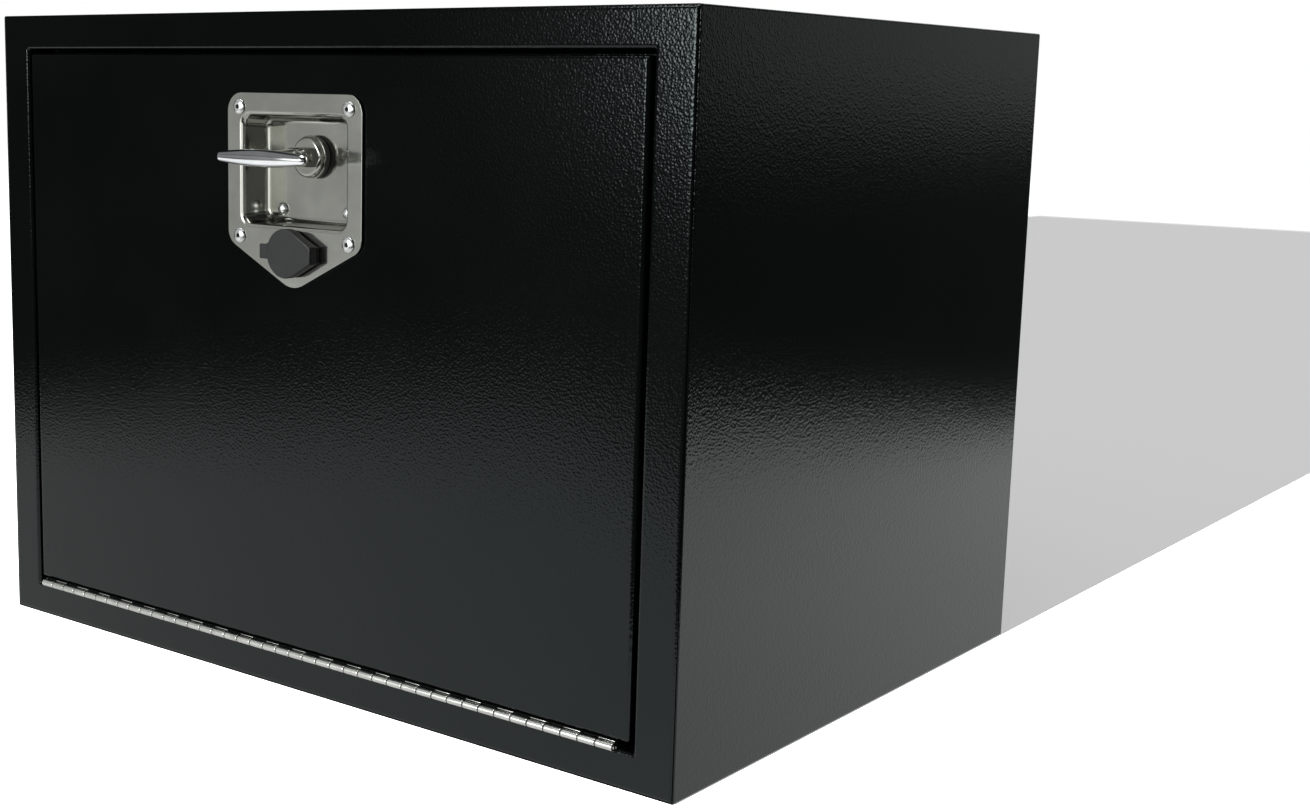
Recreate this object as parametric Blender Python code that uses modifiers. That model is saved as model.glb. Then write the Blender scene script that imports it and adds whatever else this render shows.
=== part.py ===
# Underbody truck tool box: a folded steel box with a drop-down front door on a continuous hinge,
# a folding T-handle latch in a recessed tray, a keyed lock under a rubber cover, and two door stays.
# Metres, +Z up, front towards -Y, origin at the centre of the bottom face.
import math

import bmesh
import bpy
from mathutils import Matrix, Vector

# Box of folded sheet
BOX_WIDTH = 0.610
BOX_DEPTH = 0.450
BOX_HEIGHT = 0.450
SHEET = 0.0015
FOLD_RADIUS = 0.0025
BOX_CORNER_RADIUS = 0.003
PAN_CORNER_RADIUS = 0.0035
BACK_FLANGE = 0.020
SEAT = 0.0003  # gap between two pieces that lie against each other

# Frame round the door opening
FRAME_SIDE = 0.02865
FRAME_TOP = 0.024
FRAME_BOTTOM = 0.024
OPENING_CORNER_RADIUS = 0.005
LIP_DEPTH = 0.025
STOP_FLANGE = 0.0135
STOP_CORNER_RADIUS = 0.004

# Door: outer pan, inner pan nested in it
DOOR_SIDE_GAP = 0.00315
DOOR_TOP_GAP = 0.0034
DOOR_BOTTOM_GAP = 0.0055
DOOR_THICKNESS = 0.019
INNER_SHEET = 0.0012
INNER_FLANGE = 0.012
CUTOUT_CLEARANCE = 0.0008

# Door seal
SEAL_BOTTOM_INSET = 0.010
SEAL_CORNER_RADIUS = 0.010

# Continuous hinge
KNUCKLE_LENGTH = 0.0127
HINGE_SHIFT = -0.0024
BARREL_RADIUS = 0.0025
BARREL_BORE = 0.00155
PIN_RADIUS = 0.0012
PIN_OVERHANG = 0.0015
BARREL_FORWARD = 0.0017
BARREL_RISE = 0.0016
LEAF_SHEET = 0.0012
LEAF_BACK = 0.018
LEAF_EDGE = 0.0035
NECK_FRONT = 0.0009
KNUCKLE_CLEARANCE = 0.0003

# Latch plate and tray, measured from the spindle's axis
SPINDLE_BELOW_TOP = 0.0927
PLATE_HALF_WIDTH = 0.0608
PLATE_ABOVE = 0.0407
SHOULDER_BELOW = 0.0561
TIP_BELOW = 0.0865
PLATE_CORNER_RADIUS = 0.0125
SHOULDER_RADIUS = 0.0115
TIP_RADIUS = 0.020
PLATE_SHEET = 0.001
GASKET_SHEET = 0.0005
GASKET_INSET = 0.0015
TRAY_HALF_WIDTH = 0.0496
TRAY_ABOVE = 0.0293
TRAY_BELOW = 0.0475
TRAY_DEPTH = 0.0207
TRAY_CORNER_RADIUS = 0.009
TRAY_FOLD_RADIUS = 0.0025
TRAY_DRAFT = 0.0031

# Blind rivets of the plate and solid rivets of the tray
RIVET_SIDE = 0.0495
RIVET_ABOVE = 0.0316
RIVET_BELOW = 0.0529
RIVET_HEAD_RADIUS = 0.005
RIVET_HEAD_HEIGHT = 0.0016
RIVET_SHANK_RADIUS = 0.0022
RIVET_HOLE_CLEARANCE = 0.0003
RIVET_EYE_RADIUS = 0.0013
RIVET_EYE_DEPTH = 0.0012
RIVET_TAIL_RADIUS = 0.0032
RIVET_TAIL_LENGTH = 0.003
TRAY_RIVET_SIDE = 0.0298
TRAY_RIVET_BELOW = 0.0352
TRAY_RIVET_HEAD_RADIUS = 0.0042
TRAY_RIVET_HEAD_HEIGHT = 0.0027
TRAY_RIVET_SHANK_RADIUS = 0.002

# Bearing plate, bush and spindle
BEARING_HALF_WIDTH = 0.034
BEARING_ABOVE = 0.0167
BEARING_BELOW = 0.0403
BEARING_SHEET = 0.002
BEARING_CORNER_RADIUS = 0.004
SPINDLE_RADIUS = 0.006
BUSH_RUNNING_CLEARANCE = 0.00015
BUSH_WALL = 0.0018
BUSH_FLANGE_RADIUS = 0.011
BUSH_FLANGE_SHEET = 0.0034
HUB_RADIUS = 0.0134
HUB_EDGE_RADIUS = 0.00125
HUB_DISC_LENGTH = 0.003
HUB_GROOVE_RADIUS = 0.0126
HUB_GROOVE_LENGTH = 0.0006
HUB_RING_RADIUS = 0.0141
HUB_RING_LENGTH = 0.0013
RING_SEAL_RADIUS = 0.0139
RING_SEAL_LENGTH = 0.0035
WASHER_SHEET = 0.001
WASHER_RADIUS = 0.010
SQUARE_HALF = 0.004
SQUARE_CLEARANCE = 0.0003
ARM_SHEET = 0.0025
ARM_HUB_RADIUS = 0.011
ARM_LENGTH = 0.0557
ARM_TIP_RADIUS = 0.006
TAIL_LENGTH = 0.0225
TAIL_RADIUS = 0.0045
TAIL_ANGLE = math.radians(30)
THREAD_RADIUS = 0.003
THREAD_LENGTH = 0.0072
LOCK_WASHER_RADIUS = 0.0068
NUT_ACROSS_FLATS = 0.010
NUT_HEIGHT = 0.005

# Folding T-handle and the fork that carries it
PIVOT_BEHIND_FACE = 0.0037
FORK_RADIUS = 0.0062
FORK_HALF_WIDTH = 0.0082
FORK_SLOT_HALF = 0.0032
TONGUE_HALF = 0.0029
TONGUE_RADIUS = 0.005
PIVOT_PIN_RADIUS = 0.0024
PIVOT_PIN_CLEARANCE = 0.0002
PIVOT_PIN_HEAD_RADIUS = 0.0034
PIVOT_PIN_HEAD_HEIGHT = 0.0008
HANDLE_REACH = 0.0337
HANDLE_HALF_LENGTH = 0.0395
HANDLE_RADIUS = 0.00575
HANDLE_END_RADIUS = 0.0034
SHANK_START = 0.0066
SHANK_HALF = 0.0056
SHANK_CORNER_RADIUS = 0.0018
SHANK_WAIST = 0.017
SHANK_WAIST_HALF = 0.0048
WEB_HALF_WIDTH = 0.013
WEB_HALF_HEIGHT = 0.0036

# Keyed lock
LOCK_BELOW = 0.0616
BARREL_FLANGE_RADIUS = 0.011
BARREL_FLANGE_LENGTH = 0.0015
LOCK_BARREL_RADIUS = 0.0095
LOCK_BARREL_LENGTH = 0.0277
LOCK_BARREL_CLEARANCE = 0.0005
LOCK_NUT_ACROSS_FLATS = 0.024
LOCK_NUT_HEIGHT = 0.004
PLUG_RADIUS = 0.006
PLUG_CLEARANCE = 0.0003
KEYWAY_WIDTH = 0.0018
KEYWAY_HEIGHT = 0.0085
KEYWAY_DEPTH = 0.012
PLUG_SQUARE_HALF = 0.003
TONGUE_ARM_LENGTH = 0.0375
TONGUE_ARM_RADIUS = 0.0065
TONGUE_TIP_RADIUS = 0.0045
SCREW_RADIUS = 0.0016
SCREW_HEAD_RADIUS = 0.0042
SCREW_HEAD_HEIGHT = 0.0024
SCREW_DEPTH = 0.008

# Rubber cover of the lock
COVER_RADIUS = 0.016
COVER_DEPTH = 0.0068
COVER_EDGE_RADIUS = 0.0009
COVER_HINGE_REACH = 0.0235
COVER_HINGE_GAP = 0.0008
COVER_HINGE_HALF_HEIGHT = 0.0055
COVER_HOLLOW_RADIUS = 0.0128
COVER_HOLLOW_DEPTH = 0.0048
COVER_TAB_REACH = 0.027
COVER_TAB_HALF_HEIGHT = 0.0048
COVER_TAB_SHEET = 0.0024
BASE_RADIUS = 0.013
BASE_SHEET = 0.001
BASE_HINGE_HALF_HEIGHT = 0.005

# Door stays
STAY_RADIUS = 0.220  # pivot and stud both lie this far from the hinge axis
STAY_PIVOT_STANDOFF = 0.012
STAY_STUD_DEPTH = 0.075
STAY_INSET = 0.0492
STAY_SHEET = 0.003
STAY_HALF_WIDTH = 0.008
STAY_HOLE_CLEARANCE = 0.0004
STAY_OPEN_ANGLE = math.radians(90)
STUD_RADIUS = 0.003
STUD_HEAD_RADIUS = 0.0065
STUD_HEAD_HEIGHT = 0.0018
STUD_SHOULDER_RADIUS = 0.006
TENON_RADIUS = 0.0025
PEEN_RADIUS = 0.004
PEEN_HEIGHT = 0.0012
LUG_SHEET = 0.002
LUG_HALF_HEIGHT = 0.015
LUG_WELD_FLANGE = 0.008
LUG_TO_ARM = 0.0006
LUG_END = 0.008
BRACKET_HALF_HEIGHT = 0.0165
BRACKET_WELD_FLANGE = 0.011
BRACKET_END = 0.014

# Fineness of curved shapes
FOLD_STEPS = 3
ARC_STEPS = 4
FINE_SIDES = 24
MEDIUM_SIDES = 16
SMALL_SIDES = 12
BORE_SIDES = 8
FOLD_ANGLE = math.radians(50)
SMOOTH_ANGLE = math.radians(35)
MERGE = 0.00001
OVERRUN = 0.002  # how far cuts pass the surfaces that they cut

# Places worked out from the sizes above
FRONT = -BOX_DEPTH / 2
BACK = BOX_DEPTH / 2
OPENING_HALF = BOX_WIDTH / 2 - FRAME_SIDE
OPENING_LOW = FRAME_BOTTOM
OPENING_HIGH = BOX_HEIGHT - FRAME_TOP
STOP_FRONT = FRONT + LIP_DEPTH
DOOR_HALF = OPENING_HALF - DOOR_SIDE_GAP
DOOR_LOW = OPENING_LOW + DOOR_BOTTOM_GAP
DOOR_HIGH = OPENING_HIGH - DOOR_TOP_GAP
DOOR_BACK = FRONT + DOOR_THICKNESS
SEAL_RADIUS = (LIP_DEPTH - DOOR_THICKNESS) / 2 - SEAT

KNUCKLE_PAIRS = int(DOOR_HALF / KNUCKLE_LENGTH)
HINGE_HALF = KNUCKLE_LENGTH * KNUCKLE_PAIRS
HINGE_LEFT = HINGE_SHIFT - HINGE_HALF
HINGE_Y = FRONT - BARREL_FORWARD
HINGE_Z = OPENING_LOW + BARREL_RISE

GASKET_BACK = FRONT - SEAT
PLATE_BACK = GASKET_BACK - GASKET_SHEET - SEAT
PLATE_FRONT = PLATE_BACK - PLATE_SHEET
FLOOR_FRONT = PLATE_FRONT + TRAY_DEPTH
FLOOR_BACK = FLOOR_FRONT + PLATE_SHEET
BEARING_FRONT = FLOOR_BACK + SEAT
BEARING_BACK = BEARING_FRONT + BEARING_SHEET
BUSH_OUTER = SPINDLE_RADIUS + BUSH_RUNNING_CLEARANCE + BUSH_WALL
BUSH_BACK = BEARING_BACK + SEAT + BUSH_FLANGE_SHEET
WASHER_BACK = BUSH_BACK + SEAT + WASHER_SHEET
ARM_FRONT = WASHER_BACK + SEAT
ARM_BACK = ARM_FRONT + ARM_SHEET
SPINDLE_Z = BOX_HEIGHT - SPINDLE_BELOW_TOP
LOCK_Z = SPINDLE_Z - LOCK_BELOW
PIVOT_Y = FRONT + PIVOT_BEHIND_FACE
RING_SEAL_FRONT = FLOOR_FRONT - SEAT - RING_SEAL_LENGTH
HUB_FRONT = RING_SEAL_FRONT - SEAT - HUB_RING_LENGTH - HUB_GROOVE_LENGTH - HUB_DISC_LENGTH

BASE_FRONT = PLATE_FRONT - SEAT - BASE_SHEET
COVER_BACK = BASE_FRONT - SEAT
COVER_FRONT = COVER_BACK - COVER_DEPTH
BARREL_FLANGE_FRONT = BASE_FRONT - SEAT - BARREL_FLANGE_LENGTH
LOCK_BARREL_BACK = BASE_FRONT - SEAT + LOCK_BARREL_LENGTH

STAY_SIDE = BOX_WIDTH / 2 - STAY_INSET
STAY_PIVOT_Y = DOOR_BACK + STAY_PIVOT_STANDOFF
STAY_PIVOT_Z = HINGE_Z + math.sqrt(STAY_RADIUS**2 - (STAY_PIVOT_Y - HINGE_Y) ** 2)
STAY_STUD_Y = FRONT + STAY_STUD_DEPTH
STAY_STUD_Z = HINGE_Z + math.sqrt(STAY_RADIUS**2 - (STAY_STUD_Y - HINGE_Y) ** 2)
SIDES = ((-1, "left"), (1, "right"))


# Scene and collections

def clear_scene():
    for item in list(bpy.data.objects):
        bpy.data.objects.remove(item, do_unlink=True)


def new_collection(name):
    collection = bpy.data.collections.new(name)
    bpy.context.scene.collection.children.link(collection)
    return collection


clear_scene()
parts = new_collection("Underbody tool box")
cutters = new_collection("Cutters")


# Materials

def material(name, colour, metallic, roughness):
    made = bpy.data.materials.new(name)
    made.use_nodes = True
    made.diffuse_color = (*colour, 1)
    shader = made.node_tree.nodes["Principled BSDF"]
    shader.inputs["Base Color"].default_value = (*colour, 1)
    shader.inputs["Metallic"].default_value = metallic
    shader.inputs["Roughness"].default_value = roughness
    return made


def black_powder_coat():
    return material("Black powder coat", (0.011, 0.012, 0.012), 0, 0.45)


def satin_stainless():
    return material("Satin stainless", (0.53, 0.53, 0.50), 1, 0.28)


def chrome_plate():
    return material("Chrome plate", (0.80, 0.81, 0.82), 1, 0.07)


def bright_aluminium():
    return material("Bright aluminium", (0.82, 0.82, 0.82), 1, 0.2)


def zinc_plate():
    return material("Zinc plate", (0.60, 0.61, 0.60), 1, 0.35)


def moulded_rubber():
    return material("Moulded rubber", (0.040, 0.045, 0.048), 0, 0.65)


COAT = black_powder_coat()
STAINLESS = satin_stainless()
CHROME = chrome_plate()
ALUMINIUM = bright_aluminium()
ZINC = zinc_plate()
RUBBER = moulded_rubber()


# Outlines, as lists of two coordinates

def rounded(corners):
    """The outline through (u, v, radius) corners, each turned by an arc."""
    outline = []
    for index, (u, v, radius) in enumerate(corners):
        corner = Vector((u, v))
        if not radius:
            outline.append(corner)
            continue
        before = (Vector(corners[index - 1][:2]) - corner).normalized()
        after = (Vector(corners[(index + 1) % len(corners)][:2]) - corner).normalized()
        half = before.angle(after) / 2
        centre = corner + (before + after).normalized() * radius / math.sin(half)
        start = corner + before * radius / math.tan(half) - centre
        end = corner + after * radius / math.tan(half) - centre
        sweep = math.atan2(start.x * end.y - start.y * end.x, start.dot(end))
        for step in range(ARC_STEPS + 1):
            outline.append(centre + Matrix.Rotation(sweep * step / ARC_STEPS, 2) @ start)
    return outline


def rectangle(half, low, high, radius):
    return rounded([(-half, low, radius), (half, low, radius), (half, high, radius), (-half, high, radius)])


def circle(u, v, radius, sides):
    turns = [2 * math.pi * side / sides for side in range(sides)]
    return [Vector((u + radius * math.cos(turn), v + radius * math.sin(turn))) for turn in turns]


def arc(centre, radius, first, last):
    """Points on a circle from one heading to another."""
    count = 2 * ARC_STEPS
    turns = [first + (last - first) * step / count for step in range(count + 1)]
    return [Vector(centre) + Vector((math.cos(turn), math.sin(turn))) * radius for turn in turns]


def crank(centre, hub_radius, ends):
    """The outline round a hub with tapered arms, as (heading, length, end radius) by rising heading."""
    leans = [math.acos((hub_radius - radius) / length) for _, length, radius in ends]
    outline = []
    for index, (heading, length, radius) in enumerate(ends):
        tip = Vector(centre) + Vector((math.cos(heading), math.sin(heading))) * length
        outline += arc(tip, radius, heading - leans[index], heading + leans[index])
        following = (index + 1) % len(ends)
        first = heading + leans[index]
        last = ends[following][0] - leans[following] + (2 * math.pi if following <= index else 0)
        if last > first:
            outline += arc(centre, hub_radius, first, last)
        else:
            middle = (first + last) / 2
            corner = Vector((math.cos(middle), math.sin(middle))) * hub_radius / math.cos((first - last) / 2)
            outline.append(Vector(centre) + corner)
    return outline


def slot_outline(start, end, radius):
    """Two half circles joined by straight sides."""
    along = Vector(end) - Vector(start)
    return crank(start, radius, [(math.atan2(along.y, along.x), along.length, radius)])


def half_round(centre, radius, end):
    """A half circle whose straight sides run on to a given first coordinate."""
    u, v = centre
    first = math.pi / 2 if end > u else -math.pi / 2
    low, high = (v - radius, v + radius) if end > u else (v + radius, v - radius)
    return arc(centre, radius, first, first + math.pi) + [Vector((end, low)), Vector((end, high))]


# Meshes and objects

def add_object(name, mesh, finish=None):
    """Puts a mesh in the scene, as a part where it has a finish and as a hidden helper otherwise."""
    made = bpy.data.objects.new(name, mesh)
    if finish is None:
        cutters.objects.link(made)
        made.hide_render = True
        made.display_type = "WIRE"
        return made
    parts.objects.link(made)
    mesh.materials.append(finish)
    mesh.shade_smooth()
    mesh.set_sharp_from_angle(angle=SMOOTH_ANGLE)
    return made


def mesh_from(name, shape):
    mesh = bpy.data.meshes.new(name)
    shape.to_mesh(mesh)
    shape.free()
    return mesh


AXIS_TURNS = {
    "X": Matrix(((0, 0, 1), (1, 0, 0), (0, 1, 0))).to_4x4(),
    "Y": Matrix(((1, 0, 0), (0, 0, -1), (0, 1, 0))).to_4x4(),
    "Z": Matrix.Identity(4),
}


def plate(name, outlines, low, high, axis, finish=None):
    """A flat piece between low and high along an axis; outlines after the first are holes."""
    curve = bpy.data.curves.new(name, "CURVE")
    curve.dimensions = "2D"
    curve.fill_mode = "BOTH"
    curve.extrude = (high - low) / 2
    for outline in outlines:
        spline = curve.splines.new("POLY")
        spline.points.add(len(outline) - 1)
        for point, (u, v) in zip(spline.points, outline):
            point.co = (u, v, 0, 1)
        spline.use_cyclic_u = True
    guide = bpy.data.objects.new(name + "_outline", curve)
    cutters.objects.link(guide)
    graph = bpy.context.evaluated_depsgraph_get()
    mesh = bpy.data.meshes.new_from_object(guide.evaluated_get(graph))
    bpy.data.objects.remove(guide, do_unlink=True)
    shape = bmesh.new()
    shape.from_mesh(mesh)
    bpy.data.meshes.remove(mesh)
    bmesh.ops.remove_doubles(shape, verts=shape.verts, dist=MERGE)
    turn = AXIS_TURNS[axis]
    middle = (low + high) / 2
    place = Matrix.Translation(turn.col[2].to_3d() * (-middle if axis == "Y" else middle))
    bmesh.ops.transform(shape, matrix=place @ turn, verts=shape.verts)
    bmesh.ops.recalc_face_normals(shape, faces=shape.faces)
    return add_object(name, mesh_from(name, shape), finish)


def loft(name, sections, caps, finish=None):
    """Skin through (outline, y) sections of equal point counts, closed by a face at the named ends."""
    shape = bmesh.new()
    rings = []
    for outline, y in sections:
        rings.append([shape.verts.new((u, y, v)) for u, v in outline])
    for first, second in zip(rings, rings[1:]):
        for i in range(len(first)):
            shape.faces.new((first[i - 1], first[i], second[i], second[i - 1]))
    for end in caps:
        shape.faces.new(rings[end])
    bmesh.ops.recalc_face_normals(shape, faces=shape.faces)
    return add_object(name, mesh_from(name, shape), finish)


def block(name, low, high, finish=None):
    """A box between two corners."""
    shape = bmesh.new()
    bmesh.ops.create_cube(shape, size=1)
    low, high = Vector(low), Vector(high)
    sizes = Matrix.Diagonal((*(high - low), 1))
    bmesh.ops.transform(shape, matrix=Matrix.Translation((low + high) / 2) @ sizes, verts=shape.verts)
    return add_object(name, mesh_from(name, shape), finish)


def rod(name, radius, start, end, sides, finish=None):
    """A round bar between two points."""
    start, end = Vector(start), Vector(end)
    shape = bmesh.new()
    bmesh.ops.create_cone(
        shape, cap_ends=True, segments=sides, radius1=radius, radius2=radius, depth=(end - start).length
    )
    turn = (end - start).to_track_quat("Z", "X").to_matrix().to_4x4()
    bmesh.ops.transform(shape, matrix=Matrix.Translation((start + end) / 2) @ turn, verts=shape.verts)
    return add_object(name, mesh_from(name, shape), finish)


def turned(name, outer, bore, place, axis, sides, finish=None):
    """A lathe-turned piece: (radius, distance) pairs along an axis from a place, solid or with a bore."""
    profile = outer[::-1]
    if bore:
        profile = profile + [(bore, outer[0][1]), (bore, outer[-1][1])]
    else:
        top = [(0, outer[-1][1])] if outer[-1][0] > MERGE else []
        bottom = [(0, outer[0][1])] if outer[0][0] > MERGE else []
        profile = top + profile + bottom
    shape = bmesh.new()
    points = [shape.verts.new((radius, 0, distance)) for radius, distance in profile]
    for first, second in zip(points, points[1:]):
        shape.edges.new((first, second))
    if bore:
        shape.edges.new((points[-1], points[0]))
    made = add_object(name, mesh_from(name, shape), finish)
    made.location = place
    made.rotation_euler = Vector(axis).to_track_quat("Z", "X").to_euler()
    screw = made.modifiers.new("Turn", "SCREW")
    screw.axis = "Z"
    screw.steps = sides
    screw.render_steps = sides
    screw.use_smooth_shade = True
    screw.use_merge_vertices = True
    screw.merge_threshold = MERGE
    return made


def round_folds(made, radius, steps=FOLD_STEPS):
    bevel = made.modifiers.new("Folds", "BEVEL")
    bevel.width = radius
    bevel.segments = steps
    bevel.limit_method = "ANGLE"
    bevel.angle_limit = FOLD_ANGLE
    bevel.use_clamp_overlap = False


def thicken(made, sheet):
    """Gives an open skin its sheet thickness on the side away from its normals."""
    wall = made.modifiers.new("Sheet", "SOLIDIFY")
    wall.thickness = sheet
    wall.offset = -1
    wall.use_even_offset = True


def combine(made, operation, others):
    for other in others:
        step = made.modifiers.new(operation.title(), "BOOLEAN")
        step.operation = operation
        step.solver = "EXACT"
        step.object = other


def cut(made, *others):
    combine(made, "DIFFERENCE", others)


def join(made, *others):
    combine(made, "UNION", others)


def carry(name, place, pieces, carrier=None):
    """An empty on a joint's axis that carries the pieces turning about it."""
    empty = bpy.data.objects.new(name, None)
    parts.objects.link(empty)
    empty.location = place
    bpy.context.view_layer.update()
    for child, holder in [(piece, empty) for piece in pieces] + ([(empty, carrier)] if carrier else []):
        child.parent = holder
        child.matrix_parent_inverse = holder.matrix_world.inverted()
    bpy.context.view_layer.update()
    return empty


# Box

def body_shell():
    box = rectangle(BOX_WIDTH / 2, 0, BOX_HEIGHT, BOX_CORNER_RADIUS)
    opening = rectangle(OPENING_HALF, OPENING_LOW, OPENING_HIGH, OPENING_CORNER_RADIUS)
    stop = rectangle(
        OPENING_HALF - STOP_FLANGE, OPENING_LOW + STOP_FLANGE, OPENING_HIGH - STOP_FLANGE, STOP_CORNER_RADIUS
    )
    skin = [(box, BACK), (box, FRONT), (opening, FRONT), (opening, STOP_FRONT), (stop, STOP_FRONT)]
    made = loft("body_shell", skin, (), COAT)
    round_folds(made, FOLD_RADIUS)
    thicken(made, SHEET)
    return made


def back_panel():
    inset = SHEET + SEAT
    edge = rectangle(BOX_WIDTH / 2 - inset, inset, BOX_HEIGHT - inset, PAN_CORNER_RADIUS)
    made = loft("back_panel", [(edge, BACK - BACK_FLANGE), (edge, BACK)], (-1,), COAT)
    round_folds(made, FOLD_RADIUS)
    thicken(made, SHEET)
    return made


def door_seal():
    """A round rubber cord that runs all the way round in front of the stop flange."""
    inset = STOP_FLANGE / 2
    path = rectangle(
        OPENING_HALF - inset, OPENING_LOW + SEAL_BOTTOM_INSET, OPENING_HIGH - inset, SEAL_CORNER_RADIUS
    )
    curve = bpy.data.curves.new("door_seal", "CURVE")
    curve.dimensions = "3D"
    curve.bevel_depth = SEAL_RADIUS
    curve.bevel_resolution = 1
    curve.materials.append(RUBBER)
    spline = curve.splines.new("POLY")
    spline.points.add(len(path) - 1)
    for point, (x, z) in zip(spline.points, path):
        point.co = (x, STOP_FRONT - SEAT - SEAL_RADIUS, z, 1)
    spline.use_cyclic_u = True
    made = bpy.data.objects.new("door_seal", curve)
    parts.objects.link(made)
    return made


# Continuous hinge

def hinge_leaf(name, profile, first_notch):
    """One leaf with every second knuckle of the barrel."""
    left, right = HINGE_LEFT, HINGE_LEFT + 2 * HINGE_HALF
    made = plate(name, [profile], left, right, "X", STAINLESS)
    start, end = (left, HINGE_Y, HINGE_Z), (right, HINGE_Y, HINGE_Z)
    bore_start, bore_end = (left - OVERRUN, HINGE_Y, HINGE_Z), (right + OVERRUN, HINGE_Y, HINGE_Z)
    join(made, rod(name + "_barrel", BARREL_RADIUS, start, end, SMALL_SIDES))
    cut(made, rod(name + "_bore", BARREL_BORE, bore_start, bore_end, BORE_SIDES))
    cut(made, knuckle_notches(name + "_notches", first_notch))
    return made


def knuckle_notches(name, first):
    """Boxes that clear the other leaf's knuckles, as one cutter."""
    shape = bmesh.new()
    reach = BARREL_RADIUS + BARREL_FORWARD + LEAF_EDGE
    for pair in range(KNUCKLE_PAIRS):
        middle = HINGE_LEFT + (2 * pair + first + 1 / 2) * KNUCKLE_LENGTH
        made = bmesh.ops.create_cube(shape, size=1)
        sizes = Matrix.Diagonal((KNUCKLE_LENGTH + KNUCKLE_CLEARANCE, 2 * reach, 2 * reach, 1))
        centre = Matrix.Translation((middle, FRONT + LEAF_EDGE + SEAT - reach, HINGE_Z))
        bmesh.ops.transform(shape, matrix=centre @ sizes, verts=made["verts"])
    return add_object(name, mesh_from(name, shape))


def hinge():
    frame_low = OPENING_LOW + SEAT
    frame_high = frame_low + LEAF_SHEET
    back = FRONT + LEAF_BACK
    frame_profile = [(HINGE_Y, frame_low), (back, frame_low), (back, frame_high), (HINGE_Y, frame_high)]
    frame_leaf = hinge_leaf("hinge_frame_leaf", frame_profile, 1)
    door_high = DOOR_LOW - SEAT
    door_low = door_high - LEAF_SHEET
    door_profile = [
        (HINGE_Y, HINGE_Z + PIN_RADIUS),
        (HINGE_Y + BARREL_RADIUS - SEAT, HINGE_Z + PIN_RADIUS),
        (FRONT + NECK_FRONT + LEAF_SHEET, door_low),
        (back, door_low),
        (back, door_high),
        (FRONT + NECK_FRONT, door_high),
        (HINGE_Y, HINGE_Z + BARREL_RADIUS - SEAT),
    ]
    door_leaf = hinge_leaf("hinge_door_leaf", door_profile, 0)
    left, right = HINGE_LEFT - PIN_OVERHANG, HINGE_LEFT + 2 * HINGE_HALF + PIN_OVERHANG
    start, end = (left, HINGE_Y, HINGE_Z), (right, HINGE_Y, HINGE_Z)
    return frame_leaf, door_leaf, rod("hinge_pin", PIN_RADIUS, start, end, SMALL_SIDES, STAINLESS)


# Door

def rivet_places():
    return [
        (side * RIVET_SIDE, SPINDLE_Z + rise)
        for rise in (RIVET_ABOVE, -RIVET_BELOW)
        for side in (-1, 1)
    ]


def hole(name, radius, x, z, front, back, sides=MEDIUM_SIDES):
    """A cutter for a round hole through everything between two depths."""
    return rod(name, radius, (x, front - OVERRUN, z), (x, back + OVERRUN, z), sides)


def door_skin():
    edge = rectangle(DOOR_HALF, DOOR_LOW, DOOR_HIGH, PAN_CORNER_RADIUS)
    made = loft("door_skin", [(edge, DOOR_BACK), (edge, FRONT)], (-1,), COAT)
    round_folds(made, FOLD_RADIUS)
    thicken(made, SHEET)
    back = FRONT + SHEET
    cut(made, tray_cutout("skin_tray_cutout", FRONT, back))
    lock_radius = LOCK_BARREL_RADIUS + LOCK_BARREL_CLEARANCE
    cut(made, hole("skin_lock_hole", lock_radius, 0, LOCK_Z, FRONT, back))
    for index, (x, z) in enumerate(rivet_places()):
        radius = RIVET_SHANK_RADIUS + RIVET_HOLE_CLEARANCE
        cut(made, hole(f"skin_rivet_hole_{index}", radius, x, z, FRONT, back, SMALL_SIDES))
    return made


def tray_cutout(name, front, back):
    """The opening that the tray drops into, a clearance larger than the tray's wall."""
    inset = TRAY_FOLD_RADIUS - PLATE_SHEET - CUTOUT_CLEARANCE
    outline = rectangle(
        TRAY_HALF_WIDTH - inset,
        SPINDLE_Z - TRAY_BELOW + inset,
        SPINDLE_Z + TRAY_ABOVE - inset,
        TRAY_CORNER_RADIUS - inset,
    )
    return plate(name, [outline], front - OVERRUN, back + OVERRUN, "Y")


def door_inner_pan():
    inset = SHEET + SEAT
    edge = rectangle(DOOR_HALF - inset, DOOR_LOW + inset, DOOR_HIGH - inset, PAN_CORNER_RADIUS)
    made = loft("door_inner_pan", [(edge, DOOR_BACK - INNER_FLANGE), (edge, DOOR_BACK)], (-1,), COAT)
    round_folds(made, FOLD_RADIUS)
    thicken(made, INNER_SHEET)
    front = DOOR_BACK - INNER_SHEET
    cut(made, tray_cutout("pan_tray_cutout", front, DOOR_BACK))
    lock_radius = LOCK_BARREL_RADIUS + LOCK_BARREL_CLEARANCE
    cut(made, hole("pan_lock_hole", lock_radius, 0, LOCK_Z, front, DOOR_BACK))
    return made


# Latch plate with its tray

def plate_outline(inset):
    """A rectangle whose lower edge comes to a rounded point."""
    half = PLATE_HALF_WIDTH - inset
    shoulder = SPINDLE_Z - SHOULDER_BELOW + inset / 2
    return rounded([
        (-half, SPINDLE_Z + PLATE_ABOVE - inset, PLATE_CORNER_RADIUS - inset),
        (-half, shoulder, SHOULDER_RADIUS - inset),
        (0, SPINDLE_Z - TIP_BELOW + inset, TIP_RADIUS - inset),
        (half, shoulder, SHOULDER_RADIUS - inset),
        (half, SPINDLE_Z + PLATE_ABOVE - inset, PLATE_CORNER_RADIUS - inset),
    ])


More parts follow.
